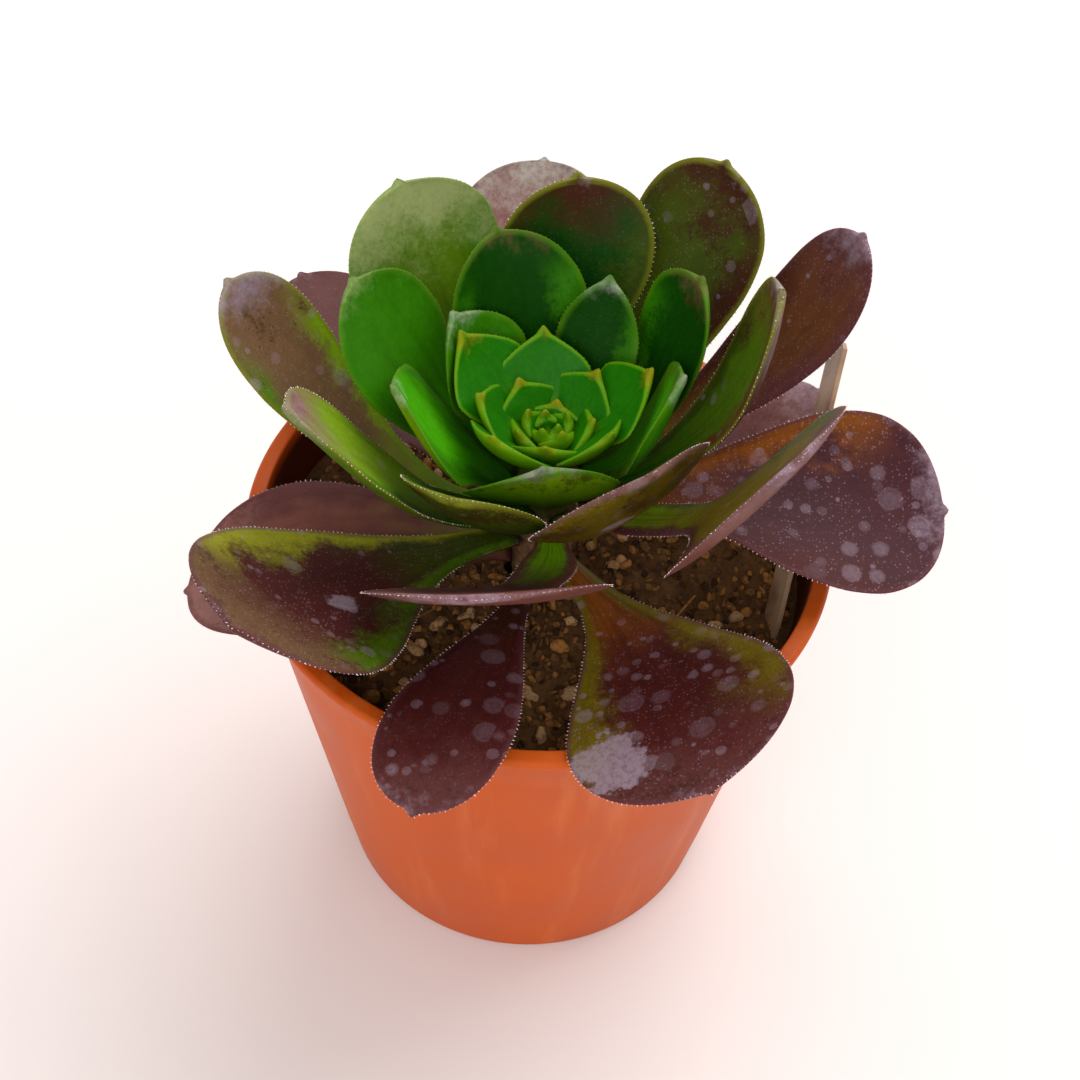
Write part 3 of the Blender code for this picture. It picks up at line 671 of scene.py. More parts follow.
# A leaf leaves the stem in the direction foot_turn, at foot_height, climbing at the angle rise. Its
# tip lies reach from the stem's axis in the direction turn, at tip_height, and there the midrib
# climbs at the angle nod. width is the blade's full width, neck the stalk's share of it and broadest
# its place as a share of the length. cup is the upward bend across the blade, roll tips the blade
# about its midrib and sway swings its end. skin is its colours and marks, opening the share of the
# length where a long stalk starts to widen, and point goes from 0, rounded, to 1, pointed.
Leaf = namedtuple(
    "Leaf",
    "name foot_turn foot_height rise turn reach tip_height nod width neck broadest cup roll sway skin"
    " opening point",
    defaults=(BLADE_START, 0.0),
)
LEAVES = (
    Leaf("spreading_left", 191, 64.5, 32, 199, 51.5, 71.0, -16, 27.5, 0.35, 0.64, 0.12, -2, -14,
         Skin(OLIVE, ROSEWOOD, MAUVE, ROSEWOOD, PLUM, PLUM, 0.3, 0.1, 0.3, 0.2, MAUVE, PLUM_EDGE)),
    Leaf("spreading_front", 256, 64.5, 9, 254, 53.0, 71.5, -14, 18.0, 0.20, 0.76, 0.06, -11, 0,
         Skin(UMBER, WINE, PLUM, WINE, WINE, PLUM, 0.2, 1.0, 0.3, 0.2, LILAC, PLUM_EDGE)),
    Leaf("spreading_back_right", 36, 66.0, 20, 30, 46.5, 77.0, 35, 19.0, 0.35, 0.63, 0.08, 14, -6,
         Skin(AMBER, PLUM, MAUVE, PLUM, MAUVE, MAUVE, 0.5, 0.2, 0.4, 0.1, LILAC, PLUM_EDGE)),
    Leaf("spreading_right", 4, 70.5, 39, 0, 56.5, 78.0, 4, 28.5, 0.20, 0.76, 0.18, -23, 4,
         Skin(AMBER, DAMSON, DAMSON, AMBER, WINE, WINE, 0.3, 0.8, 1.0, 0.1, LILAC, PLUM_EDGE)),
    Leaf("spreading_front_right", 310, 65.5, -1, 294, 55.5, 80.0, 10, 31.0, 0.20, 0.75, 0.08, -27, -10,
         Skin(AMBER, WINE, PLUM, OLIVE, OLIVE, PLUM, 0.1, 1.0, 0.7, 0.3, LILAC, PLUM_EDGE,
              (0.8, 0.72, 0.13))),
    Leaf("spreading_back_left", 136, 68.0, 20, 137, 53.0, 82.5, 18, 23.0, 0.35, 0.68, 0.16, -17, -5,
         Skin(OLIVE, PLUM, PLUM, PLUM, BRONZE, PLUM, 0.2, 0.1, 0.3, 0.1, LILAC, PLUM_EDGE)),
    Leaf("spreading_front_left", 210, 70.0, 10, 229, 56.0, 96.5, 42, 29.0, 0.20, 0.74, 0.10, 16, 19,
         Skin(MOSS, WINE, TAUPE, FERN, CHARTREUSE, BRONZE, 0.1, 0.3, 1.0, 0.3, LILAC, PLUM_EDGE,
              (0.6, -0.2, 0.05))),
    Leaf("spreading_back", 101, 70.5, 4, 93, 57.5, 90.0, 31, 26.0, 0.35, 0.71, 0.20, 11, -10,
         Skin(OLIVE, MAUVE, MAUVE, PLUM, PLUM, MAUVE, 0.6, 0.0, 0.3, 0.0, ASH, PLUM_EDGE)),
    # Its stalk is painted brighter than its own green, as a painted glow of light through it.
    Leaf("rising_front", 281, 72.5, 10, 256, 37.0, 96.5, 50, 33.0, 0.25, 0.72, 0.08, -9, 9,
         Skin(BACKLIT_PALE_GREEN, PLUM, ROSEWOOD, ROSEWOOD, ROSEWOOD, ROSEWOOD, 0.3, 0.2, 1.0, 0.1, LILAC,
              ROSE_EDGE), opening=0.38),
    Leaf("rising_back_right", 28, 73.0, 29, 28, 47.0, 108.5, 73, 16.5, 0.25, 0.76, 0.12, -1, 0,
         Skin(OLIVE, BRONZE, PLUM, UMBER, PLUM, BRONZE, 0.3, 0.3, 0.6, 0.3, LILAC, PLUM_EDGE)),
    Leaf("rising_right", 342, 74.0, 12, 323, 38.5, 111.5, 69, 33.0, 0.20, 0.72, 0.08, -14, -18,
         Skin(LIME, OLIVE, PLUM, MOSS, PLUM, ROSEWOOD, 0.3, 0.2, 1.0, 0.3, LILAC, ROSE_EDGE), opening=0.42),
    Leaf("rising_left", 183, 72.5, 13, 166, 46.0, 103.5, 56, 17.0, 0.20, 0.75, 0.18, 11, -7,
         Skin(LIME, TAUPE, TAUPE, FERN, LIME, OLIVE, 0.38, 0.3, 0.6, 0.3, LILAC, OLIVE_EDGE)),
    Leaf("rising_front_left", 214, 74.5, 22, 205, 36.5, 107.0, 56, 17.0, 0.30, 0.69, 0.24, -7, -4,
         Skin(LIME, LIME, MAUVE, GREEN, LIME, FERN, 0.3, 0.2, 0.6, 0.2, LILAC, OLIVE_EDGE)),
    Leaf("rising_back_left", 129, 75.0, 32, 131, 34.5, 110.0, 68, 24.5, 0.35, 0.75, 0.16, 3, 1,
         Skin(OLIVE, FERN, SAGE, GREEN, GREEN, GREEN, 0.8, 0.0, 0.2, 0.0, SAGE, LIME_EDGE)),
    Leaf("rising_back", 54, 75.5, 31, 55, 39.5, 111.5, 72, 21.5, 0.30, 0.75, 0.10, 3, -1,
         Skin(AMBER, MOSS, UMBER, MOSS, UMBER, BRONZE, 0.1, 0.3, 0.5, 0.4, LILAC, OLIVE_EDGE)),
    Leaf("upright_front_right", 300, 76.5, 28, 303, 24.0, 103.5, 71, 28.0, 0.3, 0.72, 0.16, -6, 0,
         Skin(LIME, FERN, BRONZE, MOSS, MOSS, OLIVE, 0.1, 0.7, 0.8, 0.42, LILAC, ROSE_EDGE,
              (0.62, 0.1, 0.07)), point=0.4),
    Leaf("upright_back", 94, 77.5, 17, 86, 28.5, 111.0, 68, 22.5, 0.25, 0.76, 0.22, -10, 11,
         Skin(GREEN, DEEP_GREEN, UMBER, MOSS, MOSS, BRONZE, 0.1, 0.0, 0.2, 0.1, LILAC, OLIVE_EDGE)),
    Leaf("upright_front_left", 236, 77.5, 30, 244, 26.5, 101.0, 62, 20.0, 0.40, 0.69, 0.24, -7, 4,
         Skin(GREEN, GREEN, FERN, GREEN, GREEN, MOSS, 0.1, 0.1, 0.5, 0.5, ASH, OLIVE_EDGE), point=0.4),
    Leaf("upright_right", 0, 77.5, 17, 5, 29.0, 115.0, 90, 18.0, 0.30, 0.75, 0.20, 4, -4,
         Skin(GREEN, FERN, BRONZE, MOSS, BRONZE, PLUM, 0.3, 0.1, 0.5, 0.3, LILAC, OLIVE_EDGE)),
    Leaf("upright_left", 164, 77.5, 33, 163, 28.5, 107.5, 65, 19.5, 0.35, 0.70, 0.22, 9, -6,
         Skin(YOUNG_GREEN, GREEN, GREEN, GREEN, GREEN, GREEN, 0.35, 0.0, 0.1, 0.0, SAGE, LIME_EDGE)),
    Leaf("upright_back_left", 97, 80.0, 14, 114, 21.5, 108.0, 61, 20.0, 0.30, 0.64, 0.24, 4, 9,
         Skin(YOUNG_GREEN, DEEP_GREEN, DEEP_GREEN, GREEN, GREEN, GREEN, 0.35, 0.0, 0.1, 0.1, TAUPE,
              LIME_EDGE), point=0.2),
    Leaf("upright_front", 266, 81.5, 44, 268, 16.0, 99.0, 81, 21.0, 0.35, 0.68, 0.06, -9, 8,
         Skin(FERN, FERN, FERN, FERN, FERN, LIME, 0.3, 0.0, 0.2, 0.4, LILAC, LIME_EDGE), point=0.7),
    Leaf("upright_back_right", 25, 80.0, 21, 29, 22.0, 109.0, 81, 16.5, 0.30, 0.74, 0.24, 4, 0,
         Skin(GREEN, DEEP_GREEN, DEEP_GREEN, GREEN, DEEP_GREEN, GREEN, 0.35, 0.0, 0.1, 0.2, TAUPE,
              LIME_EDGE)),
    Leaf("inner_right", 351, 82.0, 23, 349, 17.5, 104.5, 74, 18.5, 0.35, 0.70, 0.18, 7, 0,
         Skin(YOUNG_GREEN, YOUNG_GREEN, FERN, FERN, FERN, YOUNG_GREEN, 0.3, 0.0, 0.2, 0.1, ASH, LIME_EDGE),
         point=1.0),
    Leaf("inner_left", 197, 80.5, 46, 198, 21.5, 103.0, 70, 21.0, 0.40, 0.68, 0.12, 0, 2,
         Skin(YOUNG_GREEN, YOUNG_GREEN, YOUNG_GREEN, GREEN, GREEN, LIME, 0.3, 0.0, 0.1, 0.0, ASH,
              LIME_EDGE), point=1.0),
    Leaf("inner_back", 62, 82.0, 33, 65, 17.0, 104.0, 76, 12.0, 0.35, 0.60, 0.26, -13, 4,
         Skin(GREEN, DEEP_GREEN, DEEP_GREEN, DEEP_GREEN, GREEN, GREEN, 0.3, 0.0, 0.1, 0.1, ASH, LIME_EDGE),
         point=0.5),
    Leaf("inner_back_left", 132, 82.0, 39, 145, 17.0, 101.0, 68, 16.0, 0.35, 0.60, 0.34, -9, -4,
         Skin(YOUNG_GREEN, GREEN, GREEN, GREEN, GREEN, GREEN, 0.35, 0.0, 0.1, 0.0, ASH, LIME_EDGE),
         point=0.4),
)


def between(ends, share):
    """The value at a share of the way between two ends."""
    return ends[0] + (ends[1] - ends[0]) * share


def heading(turn, climb):
    """Unit vector in the direction turn, climbing at the angle climb."""
    turn, climb = math.radians(turn), math.radians(climb)
    return Vector((math.cos(climb) * math.cos(turn), math.cos(climb) * math.sin(turn), math.sin(climb)))


def around_stem(radius, turn, height):
    """Point at a radius from the stem's axis."""
    turn = math.radians(turn)
    return Vector((STEM_CENTRE_X + radius * math.cos(turn), radius * math.sin(turn), height))


def named(tree, name, vector=False):
    """A number or a vector stored on the geometry under a name."""
    kind, wrap = ("FLOAT_VECTOR", Arrows) if vector else ("FLOAT", Field)
    return result(tree, "GeometryNodeInputNamedAttribute", {"Name": name}, "Attribute", wrap, data_type=kind)


def laid_out(geometry, share, side, lift):
    """Store where each point belongs on the blade: along it, across it, and above or below."""
    for name, value in (("share", share), ("side", side), ("lift", lift)):
        geometry = stored(geometry, name, value)
    return geometry


def half_width(share, given):
    """Half the blade's width: a narrow foot, a stalk, a broad blade and a rounded tip."""
    neck, broadest = given["Neck"], given["Broadest"]
    growing = neck + (1.0 - neck) * eased(share, given["Opening"], broadest)
    past = ((share - broadest) / (1.0 - broadest)).clipped()
    rounding = (1.0 - past ** given["Roundness"]).calc("MAXIMUM", 0.0) ** given["Bluntness"]
    blade = (growing + (rounding - growing) * share.calc("GREATER_THAN", broadest)) * given["Width"] / 2.0
    foot = FOOT_WIDTH / 2.0 * MM
    return (blade - foot) * eased(share, 0.0, FOOT_LENGTH) + foot


def margin_distance(tree, given):
    """Distance from the blade's margin, in millimetres, measured square to it."""
    share, side = named(tree, "share"), named(tree, "side")
    half = half_width(share, given)
    ahead = half_width((share + MARGIN_STEP).calc("MINIMUM", 1.0), given)
    span = (given["Tip"] - given["Foot"]).length()
    slope = (half - ahead) / (span * MARGIN_STEP)
    return (1.0 - side.calc("ABSOLUTE")) * half / MM / (slope * slope + 1.0) ** 0.5


def blade_surface(tree, given):
    """Position on the blade and the direction up from it, from the stored share, side and lift."""
    share, side, lift = (named(tree, name) for name in ("share", "side", "lift"))
    ends = {"Start": given["Foot"], "Start Handle": given["Foot Handle"]}
    ends.update({"End Handle": given["Tip Handle"], "End": given["Tip"], "Resolution": RIB_STEPS})
    rib = result(tree, "GeometryNodeCurvePrimitiveBezierSegment", ends, mode="POSITION")
    on_rib = {"Curves": rib, "Factor": share}
    sample = node(tree, "GeometryNodeSampleCurve", on_rib, mode="FACTOR", use_all_curves=True)
    middle = Arrows(tree, sample.outputs["Position"])
    along = Arrows(tree, sample.outputs["Tangent"])
    facing = given["Foot Facing"] + (given["Tip Facing"] - given["Foot Facing"]) * share
    across = arrow(tree, facing.calc("SINE"), facing.calc("COSINE") * -1.0)
    across = (across - along * across.dot(along)).unit()
    up = across.cross(along)
    roll = given["Roll"] * share**ROLL_EASE
    turned_across = across * roll.calc("COSINE") + up * roll.calc("SINE")
    up = up * roll.calc("COSINE") - across * roll.calc("SINE")
    across = turned_across

    half = half_width(share, given)
    seed = given["Seed"] * SEED_STEP
    sway = noise(tree, 1.0, 2.0, vector=arrow(tree, share * SWAY_PACE[0], side * SWAY_PACE[1], seed))
    half = half * (1.0 + (sway - 0.5) * MARGIN_SWAY)
    foot_cup = (1.0 - share / FOOT_CUP_END).clipped()
    cup = given["Cup"] + (FOOT_CUP - given["Cup"]) * foot_cup
    surface = middle + across * (half * side) + up * (cup * half * side * side)
    slope = cup * side * 2.0
    outward = (up - across * slope).unit()

    thick = FOOT_THICKNESS + (BLADE_THICKNESS - FOOT_THICKNESS) * eased(share, 0.0, FOOT_THICKNESS_END)
    thick = thick * (1.0 - TIP_THINNING * eased(share, TIP_THINNING_START, 1.0)) * MM
    thick = thick * (1.0 - side * side) + side * side * (MARGIN_THICKNESS * MM)
    rounded = (1.0 - side.calc("ABSOLUTE") ** MARGIN_ROUNDING).calc("MAXIMUM", 0.0) ** 0.5
    closing = (half / (TIP_CLOSING * MM)).clipped() ** 0.5
    sheet = thick * 0.5 * rounded * closing * lift.calc("SIGN")
    wavy = arrow(tree, share * WAVE_PACE[0], side * WAVE_PACE[1], seed + WAVE_START)
    wave = noise(tree, 1.0, 1.0, vector=wavy) - 0.5
    ripple = wave * given["Wave"] * (side * side) * eased(share, *WAVE_RISE)
    narrow = 1.0 - eased(half, 0.0, TIP_HALF_WIDTH * MM)
    point = narrow * (POINT_LENGTH * MM) * eased(share, *POINT_RISE)
    return surface + outward * (sheet + ripple) + along * point, up


def leaf_tree():
    """Leaf tree: a fleshy blade along its midrib, with a fringe of fine hairs on its margin."""
    inputs = sockets("Vector", "Foot", "Foot Handle", "Tip Handle", "Tip")
    inputs += sockets("Float", "Foot Facing", "Tip Facing", "Roll", "Width", "Neck", "Broadest", "Cup")
    inputs += sockets("Float", "Wave", "Seed", "Opening", "Roundness", "Bluntness")
    inputs += sockets("Float", "Hair Spacing", "Hair Length", "Hair Radius")
    inputs += sockets("Int", "Rows", "Sides") + sockets("Material", "Blade", "Hair")
    tree, given = new_tree("fleshy_leaf", "GeometryNodeTree", inputs, sockets("Geometry", "Geometry"))
    place, up = blade_surface(tree, given)

    sizes = {"Vertices": given["Sides"], "Side Segments": given["Rows"], "Radius": 1.0, "Depth": 1.0}
    blade = result(tree, "GeometryNodeMeshCylinder", sizes, fill_type="TRIANGLE_FAN")
    raw = reading(tree, "GeometryNodeInputPosition").parts()
    share = 1.0 - (0.5 - raw[2]).calc("MAXIMUM", 0.0) ** TIP_GATHERING
    blade = laid_out(blade, share, raw[0], raw[1])
    blade = stored(blade, "margin", margin_distance(tree, given))
    blade = through(blade, "GeometryNodeSetPosition", {"Position": place})
    blade = through(blade, "GeometryNodeMergeByDistance", {"Distance": MERGE_DISTANCE * MM})
    blade = through(blade, "GeometryNodeSetShadeSmooth", {"Shade Smooth": True})
    blade = through(blade, "GeometryNodeSetMaterial", {"Material": given["Blade"]})

    margin = result(tree, "GeometryNodeMeshLine", {"Count": MARGIN_POINTS + 1})
    way = result(tree, "GeometryNodeInputIndex") / (MARGIN_POINTS / 2.0) - 1.0
    margin_share = 1.0 - way.calc("ABSOLUTE") ** TIP_GATHERING * (1.0 - HAIR_START)
    margin = laid_out(margin, margin_share, way.calc("SIGN"), 0.0)
    margin = through(margin, "GeometryNodeSetPosition", {"Position": place})
    margin = stored(margin, "up", up, vector=True)
    margin = through(margin, "GeometryNodeMeshToCurve")
    margin = through(margin, "GeometryNodeResampleCurve", {"Length": given["Hair Spacing"]}, mode="LENGTH")
    way_round = reading(tree, "GeometryNodeInputTangent")
    outward = named(tree, "up", vector=True).cross(way_round).unit()
    outward = outward + random_value(tree, (-HAIR_SPREAD,) * 3, (HAIR_SPREAD,) * 3, 1, vector=True)
    aim = result(tree, "FunctionNodeAlignRotationToVector", {"Vector": outward}, axis="Z")
    radius = given["Hair Radius"]
    sizes = {"Vertices": 3, "Radius Top": radius * HAIR_TIP_SHARE, "Radius Bottom": radius}
    hair = result(tree, "GeometryNodeMeshCone", {**sizes, "Depth": given["Hair Length"]}, fill_type="NGON")
    hair_size = random_value(tree, *HAIR_SIZES, 2)
    fringe = through(margin, "GeometryNodeInstanceOnPoints",
                     {"Instance": hair, "Rotation": aim, "Scale": hair_size})
    fringe = through(fringe, "GeometryNodeRealizeInstances")
    fringe = through(fringe, "GeometryNodeSetMaterial", {"Material": given["Hair"]})
    end_tree(tree, geometry=joined(blade, fringe))
    return tree


blade_tree = leaf_tree()


def leaf_mesh(name, leaf, foot_radius, blade, hair, wave, seed, rows=LEAF_ROWS, sides=LEAF_SIDES):
    """One leaf as plain mesh."""
    hair_length = GREEN_HAIR_LENGTH if hair == green_cilia else HAIR_LENGTH
    foot = around_stem(foot_radius, leaf.foot_turn, leaf.foot_height)
    tip = around_stem(leaf.reach, leaf.turn, leaf.tip_height)
    pull = MIDRIB_PULL * (tip - foot).length
    values = {
        "Foot": foot * MM,
        "Foot Handle": (foot + pull * heading(leaf.foot_turn, leaf.rise)) * MM,
        "Tip Handle": (tip - pull * heading(leaf.turn + leaf.sway, leaf.nod)) * MM,
        "Tip": tip * MM,
        "Foot Facing": math.radians(leaf.foot_turn),
        "Tip Facing": math.radians(leaf.turn + leaf.sway),
        "Roll": math.radians(leaf.roll),
        "Width": leaf.width * MM,
        "Neck": leaf.neck,
        "Broadest": leaf.broadest,
        "Opening": leaf.opening,
        "Roundness": between(TIP_ROUNDNESS, leaf.point),
        "Bluntness": 1.0 / between(TIP_BLUNTNESS, leaf.point),
        "Cup": leaf.cup,
        "Wave": wave * MM,
        "Seed": float(seed),
        "Hair Spacing": HAIR_SPACING * MM,
        "Hair Length": hair_length * MM,
        "Hair Radius": HAIR_RADIUS * MM,
        "Rows": rows,
        "Sides": sides,
        "Blade": blade,
        "Hair": hair,
    }
    return run_tree(name, blade_tree, values)


def strewn_spots(tree, scale):
    """Distance from the nearest of many spots on a piece, and three random numbers of that spot."""
    made = node(tree, "ShaderNodeTexVoronoi", {"Vector": own_place(tree), "Scale": scale})
    return Field(tree, made.outputs["Distance"]), Arrows(tree, made.outputs["Color"]).parts()


def drops(tree, scale, amount, unevenness):
    """Dried water drops: round pale marks of all sizes, some of them only rings."""
    away, pick = strewn_spots(tree, scale)
    away = away + (unevenness - 0.5) * 0.25
    wide = pick[0] * 0.3 + 0.09
    ring = 1.0 - eased((away - wide).calc("ABSOLUTE"), 0.02, 0.09)
    middle = 1.0 - eased(away, wide * 0.6, wide)
    there = pick[1].calc("LESS_THAN", amount)
    return (ring * 0.5 + middle * 0.6).clipped() * there * (0.25 + pick[2] * 0.75)


SKIN_COLOURS = ("Foot", "Body", "Tip", "Left", "Right", "Under", "Bloom", "Edge")
SKIN_SHARES = ("Waxy", "Spots", "Dust", "Blush")
MARK_SIZES = ("Mark Share", "Mark Side", "Mark Size")
CLOUD_SCALE = 150.0
PATCH_SCALE = 420.0
MOTTLE_SCALE = 1300.0
GRAIN_SCALE = 3600.0
STIPPLE_SCALE = 2100.0
WIDE_DROP_SCALE = 220.0
SMALL_DROP_SCALE = 480.0
SKIN_DEPTH = 0.05
STREAK_STRENGTH = 0.5
FLUSH_STRENGTH = 0.7
UNEVENNESS = 0.45
RIM_STRENGTH = 0.75
STIPPLE_STRENGTH = 0.42
DROP_STRENGTH = 0.52


def skin_group():
    """Skin group: the colours of a blade, its mottling, bloom and painted sheen, dried drops, stipple and
    margin.
    """
    inputs = sockets("Color", *SKIN_COLOURS) + sockets("Float", *SKIN_SHARES, *MARK_SIZES, "Rim", "Seed")
    outputs = sockets("Color", "Colour") + sockets("Float", "Roughness", "Height")
    tree, given = new_tree("leaf_skin", "ShaderNodeTree", inputs, outputs)
    share, side, lift, margin = (painted(tree, name) for name in ("share", "side", "lift", "margin"))
    cloud = noise(tree, CLOUD_SCALE, 2.0, 0.55)
    patch = noise(tree, PATCH_SCALE, 3.0, 0.65)
    mottle = noise(tree, MOTTLE_SCALE, 3.0, 0.75)
    grain = noise(tree, GRAIN_SCALE, 1.0, 0.8)
    drift = (cloud - 0.5) * 0.9 + (mottle - 0.5) * 0.45
    colour = mixed(eased(share + drift * 0.35, 0.1, 0.5), given["Foot"], given["Body"])
    flank = 1.0 - eased(share + drift * 0.3, 0.74, 0.94)
    colour = mixed(eased(side + drift * 1.1, 0.42, 0.9) * flank, colour, given["Right"])
    colour = mixed(eased(side * -1.0 + drift * 1.1, 0.42, 0.9) * flank, colour, given["Left"])
    colour = mixed(eased(share + drift * 0.4, 0.72, 1.0), colour, given["Tip"])
    underside = eased(lift * -1.0, 0.0, 0.1)
    colour = mixed(underside, colour, given["Under"])

    lengthwise = arrow(tree, share * 2.2, side * 7.0, given["Seed"] * SEED_STEP)
    streak = noise(tree, 1.0, 3.0, 0.6, vector=lengthwise)
    shaded = (1.0 - eased(streak, 0.32, 0.55)) * (1.05 - share) * STREAK_STRENGTH
    colour = mixed(shaded, colour, (0.3, 0.22, 0.2, 1.0), "MULTIPLY")
    flush_start = 0.7 - given["Blush"] * 0.4
    flush = cloud * 0.5 + mottle * 0.5 + (share - 0.65) * 0.3
    flushed = eased(flush, flush_start, flush_start + 0.12)
    colour = mixed(flushed * FLUSH_STRENGTH, colour, shade(58, 26, 14))
    uneven = eased(patch * 0.5 + mottle * 0.5, 0.3, 0.7)
    dimmed = UNEVENNESS - uneven * UNEVENNESS
    colour = mixed(dimmed, colour, (0.5, 0.5, 0.5, 1.0), "MULTIPLY")

    rim = 1.0 - eased(margin + (mottle - 0.5) * 0.5, given["Rim"] * 0.1, given["Rim"] * 1.1)
    colour = mixed(rim * RIM_STRENGTH * eased(share, 0.2, 0.45), colour, given["Edge"])
    # The bloom towards the tip: real wax bloom and orange points, and partly a painted sheen that stands in
    # for reflected light.
    waxy_sheen = given["Waxy"]
    bloom_and_sheen = eased(share + (patch - 0.5) * 0.3 + drift * 0.25, 1.04 - waxy_sheen * 0.45, 1.14 - waxy_sheen * 0.15)
    colour = mixed(bloom_and_sheen * (waxy_sheen * 0.6 + 0.4) * eased(mottle, 0.3, 0.6, 0.6, 1.0), colour, given["Bloom"])
    away, pick = strewn_spots(tree, STIPPLE_SCALE)
    speck = (1.0 - eased(away, 0.1, 0.36)) * pick[0].calc("LESS_THAN", 0.6)
    stipple = speck * given["Dust"] * eased(patch, 0.35, 0.6, 0.3, 1.0)
    colour = mixed(stipple * STIPPLE_STRENGTH, colour, given["Bloom"])
    wide_drops = drops(tree, WIDE_DROP_SCALE, given["Spots"] * 0.72, mottle)
    small_drops = drops(tree, SMALL_DROP_SCALE, given["Spots"] * 0.5, mottle)
    marks = wide_drops.calc("MAXIMUM", small_drops) * eased(mottle, 0.25, 0.6, 0.55, 1.0)
    marks = marks * (1.0 - underside * 0.5)
    size = given["Mark Size"] + 0.0001
    mark_along = (share - given["Mark Share"]) / size
    mark_across = (side - given["Mark Side"]) / (size * 3.4)
    mark_away = (mark_along * mark_along + mark_across * mark_across) ** 0.5 + (patch - 0.5) * 1.5
    mark = (1.0 - eased(mark_away, 0.65, 0.9)) * eased(mottle, 0.3, 0.6, 0.55, 1.0)
    marks = marks.calc("MAXIMUM", mark * 1.2)
    colour = mixed(marks * DROP_STRENGTH, colour, given["Bloom"])
    rough = 0.46 + bloom_and_sheen * 0.2 + marks * 0.2 + (grain - 0.5) * 0.15
    end_tree(tree, colour=colour, roughness=rough, height=grain * 0.7 + patch)
    return tree


def hair_material(name, dark, pale):
    """The material of the fine hairs, between two tones."""
    made = new_material(name, {"Roughness": 0.6})
    finish_surface(made, mixed(noise(made.node_tree, 900.0, 1.0), dark, pale))
    return made


leaf_skin = skin_group()
cilia = hair_material("cilia", shade(214, 180, 176), shade(246, 236, 230))
green_cilia = hair_material("green_cilia", shade(96, 132, 16), shade(138, 156, 60))


def leaf_material(name, skin, seed, rim=RIM_WIDTH):
    """A leaf's own material over the shared skin."""
    material = new_material(name, {"Specular IOR Level": 0.12})
    tree = material.node_tree
    inputs = {label: shade(*getattr(skin, label.lower())) for label in SKIN_COLOURS}
    inputs.update({label: getattr(skin, label.lower()) for label in SKIN_SHARES})
    inputs.update(zip(MARK_SIZES, skin.mark))
    inputs.update({"Rim": rim, "Seed": float(seed)})
    made = node(tree, "ShaderNodeGroup", inputs, node_tree=leaf_skin)
    finish_surface(material, *(Field(tree, socket) for socket in made.outputs), depth=SKIN_DEPTH)
    return material


for number, leaf in enumerate(LEAVES, start=1):
    blade_name = f"{leaf.name}_blade"
    blade_material = leaf_material(blade_name, leaf.skin, number)
    fringe = green_cilia if leaf.skin.edge == LIME_EDGE else cilia
    tilt = FOOT_THICKNESS / 2.0 * abs(math.sin(math.radians(leaf.rise)))
    foot_radius = STEM_RADIUS + FOOT_GAP + tilt
    blade = leaf_mesh(blade_name, leaf, foot_radius, blade_material, fringe, LEAF_WAVE, number)
    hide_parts(f"{leaf.name}_leaf")
    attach(blade, "root")

# Heart
# The youngest leaves stand close together on a small green core, shorter and steeper towards the
# middle, where the last six close over it as a bud. They are vivid green with a yellower margin and
# a tiny orange point.
GOLDEN_ANGLE = 137.5
HEART_FIRST_TURN = 150.0
HEART_ROWS = 44
HEART_SIDES = 32
CORE_HEIGHT = 4.5
CORE_OUTLINE = ((3.4, 0.0), (3.3, 0.25), (3.0, 0.5), (2.1, 0.8), (1.0, 1.0))
HEART_GREEN = (30, 114, 0)
HEART_TIP = (178, 122, 20)
HEART_EDGE = (100, 152, 4)
HEART_RIM_WIDTH = 0.5

# The core's outline pairs each radius with a share of the height. The young leaves come in two rings
# along one spiral. Where a ring has a pair of values, they are those of its first and its last leaf,
# and before is how many leaves of the spiral come before it.
Ring = namedtuple(
    "Ring",
    "name leaves before foot_radii foot_heights reaches tip_heights widths rise nod neck broadest cup"
    " wave first_seed",
)
RINGS = (
    Ring("heart_leaf", 12, 0, (2.4, 2.4), (85.5, 87.5), (14.5, 4.0), (100.0, 91.0), (15.0, 7.5), 50.0, 74.0,
         0.40, 0.62, 0.20, 0.4, 50),
    Ring("bud_leaf", 6, 12, (1.9, 0.7), (87.5, 88.8), (3.6, 1.4), (92.2, 91.0), (5.5, 3.0), 62.0, 100.0,
         0.60, 0.50, 0.45, 0.2, 70),
)
heart_skin = Skin(
    HEART_EDGE, HEART_GREEN, HEART_GREEN, HEART_GREEN, HEART_GREEN, HEART_EDGE, 0.35, 0.0, 0.1, 0.0,
    HEART_TIP, HEART_EDGE)


def young_leaf(ring, number, share):
    """Leaf of a ring: each one is shorter and narrower than the one before."""
    turn = HEART_FIRST_TURN - GOLDEN_ANGLE * (ring.before + number)
    return Leaf(
        name=f"{ring.name}_{number}",
        foot_turn=turn,
        foot_height=between(ring.foot_heights, share),
        rise=ring.rise,
        turn=turn,
        reach=between(ring.reaches, share),
        tip_height=between(ring.tip_heights, share),
        nod=ring.nod,
        width=between(ring.widths, share),
        neck=ring.neck,
        broadest=ring.broadest,
        cup=ring.cup,
        roll=0.0,
        sway=0.0,
        skin=heart_skin,
        point=1.0,
    )


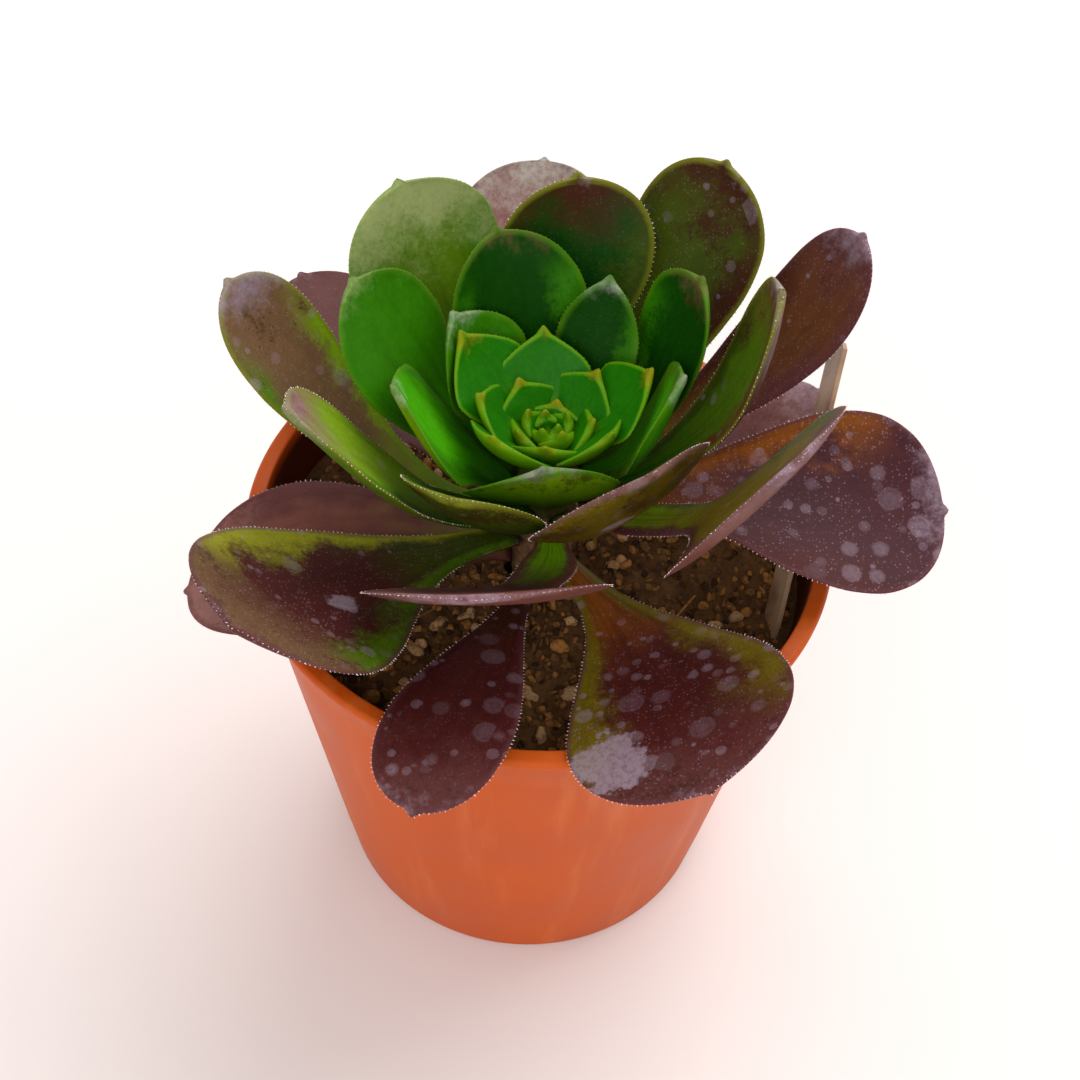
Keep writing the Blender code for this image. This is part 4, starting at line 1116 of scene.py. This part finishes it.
heart_material = leaf_material("young_leaf", heart_skin, 40, HEART_RIM_WIDTH)
core_foot = STEM_TOP_HEIGHT + CLEARANCE
core_profile = [(radius, core_foot + CORE_HEIGHT * share) for radius, share in CORE_OUTLINE]
core_points, core_faces = turned(core_profile, STEM_SIDES, (STEM_CENTRE_X, 0.0))
young_heart = new_object("young_heart", core_points, core_faces, heart_material, sharp_angle=60.0)
young_pieces = [young_heart]
for ring in RINGS:
    for number in range(ring.leaves):
        share = number / (ring.leaves - 1)
        leaf = young_leaf(ring, number, share)
        foot_radius = between(ring.foot_radii, share)
        young_pieces.append(leaf_mesh(leaf.name, leaf, foot_radius, heart_material, green_cilia, ring.wave,
                                      ring.first_seed + number, HEART_ROWS, HEART_SIDES))
with bpy.context.temp_override(active_object=young_heart, selected_editable_objects=young_pieces):
    bpy.ops.object.join()
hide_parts("heart")
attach(young_heart, "root")

# Floor, light and camera
# A plain pale floor, a large soft light from behind at the right, a weaker one from the front, and
# the camera looking down on the rosette from the front.
FLOOR_REACH = 3000.0
CAMERA_ELEVATION = 49.5
CAMERA_ROLL = 3.26
CAMERA_DISTANCE = 289.0
CAMERA_CLIP_START = 10.0
CAMERA_FOCAL_PIXELS = 2000.0
CAMERA_MIDDLE = (540.1, 520.0)
IMAGE_SIZE = 1080
SENSOR_WIDTH = 36.0
aim = Vector((0.0, 0.0, POT_HEIGHT * MM))

floor_corners = [(x * FLOOR_REACH, y * FLOOR_REACH, 0.0) for x, y in ((-1, -1), (1, -1), (1, 1), (-1, 1))]
paper = new_material("paper", {"Base Color": shade(234, 226, 224), "Roughness": 0.9})
floor = new_object("floor", floor_corners, [(0, 1, 2, 3)], paper)


def soft_light(name, direction, distance, size, power, colour):
    """A square soft light that looks at the plant, from an azimuth and an elevation."""
    data = bpy.data.lights.new(name, "AREA")
    data.size = size * MM
    data.energy = power
    data.color = colour
    made = placed(name, data)
    made.location = aim + distance * MM * heading(*direction)
    made.rotation_euler = (made.location - aim).to_track_quat("Z", "Y").to_euler()


soft_light("window", (57.0, 49.0), distance=1000.0, size=1100.0, power=10.5, colour=(1.0, 0.99, 0.97))
soft_light("fill", (255.0, 32.0), distance=1200.0, size=1000.0, power=7.0, colour=(1.0, 0.97, 0.96))
world = bpy.data.worlds.new("studio")
world.use_nodes = True
sky = world.node_tree.nodes["Background"]
sky.inputs["Color"].default_value = (1.0, 0.985, 0.975, 1.0)
sky.inputs["Strength"].default_value = 0.66
bpy.context.scene.world = world
bpy.context.scene.view_settings.view_transform = "Standard"

ahead = Vector((0.0, math.cos(math.radians(CAMERA_ELEVATION)), -math.sin(math.radians(CAMERA_ELEVATION))))
right = Vector((1.0, 0.0, 0.0))
above = right.cross(ahead)
roll = math.radians(CAMERA_ROLL)
tilted_right = math.cos(roll) * right + math.sin(roll) * above
above = math.cos(roll) * above - math.sin(roll) * right
right = tilted_right
aside = (CAMERA_MIDDLE[0] - IMAGE_SIZE / 2.0) / CAMERA_FOCAL_PIXELS
aloft = (IMAGE_SIZE / 2.0 - CAMERA_MIDDLE[1]) / CAMERA_FOCAL_PIXELS
camera_data = bpy.data.cameras.new("camera")
camera_data.sensor_width = SENSOR_WIDTH
camera_data.lens = SENSOR_WIDTH * CAMERA_FOCAL_PIXELS / IMAGE_SIZE
camera_data.clip_start = CAMERA_CLIP_START * MM
camera = placed("camera", camera_data)
spot = aim - CAMERA_DISTANCE * MM * (ahead + aside * right + aloft * above)
turning = Matrix((right, above, -ahead)).transposed().to_4x4()
camera.matrix_world = Matrix.Translation(spot) @ turning
bpy.context.scene.camera = camera
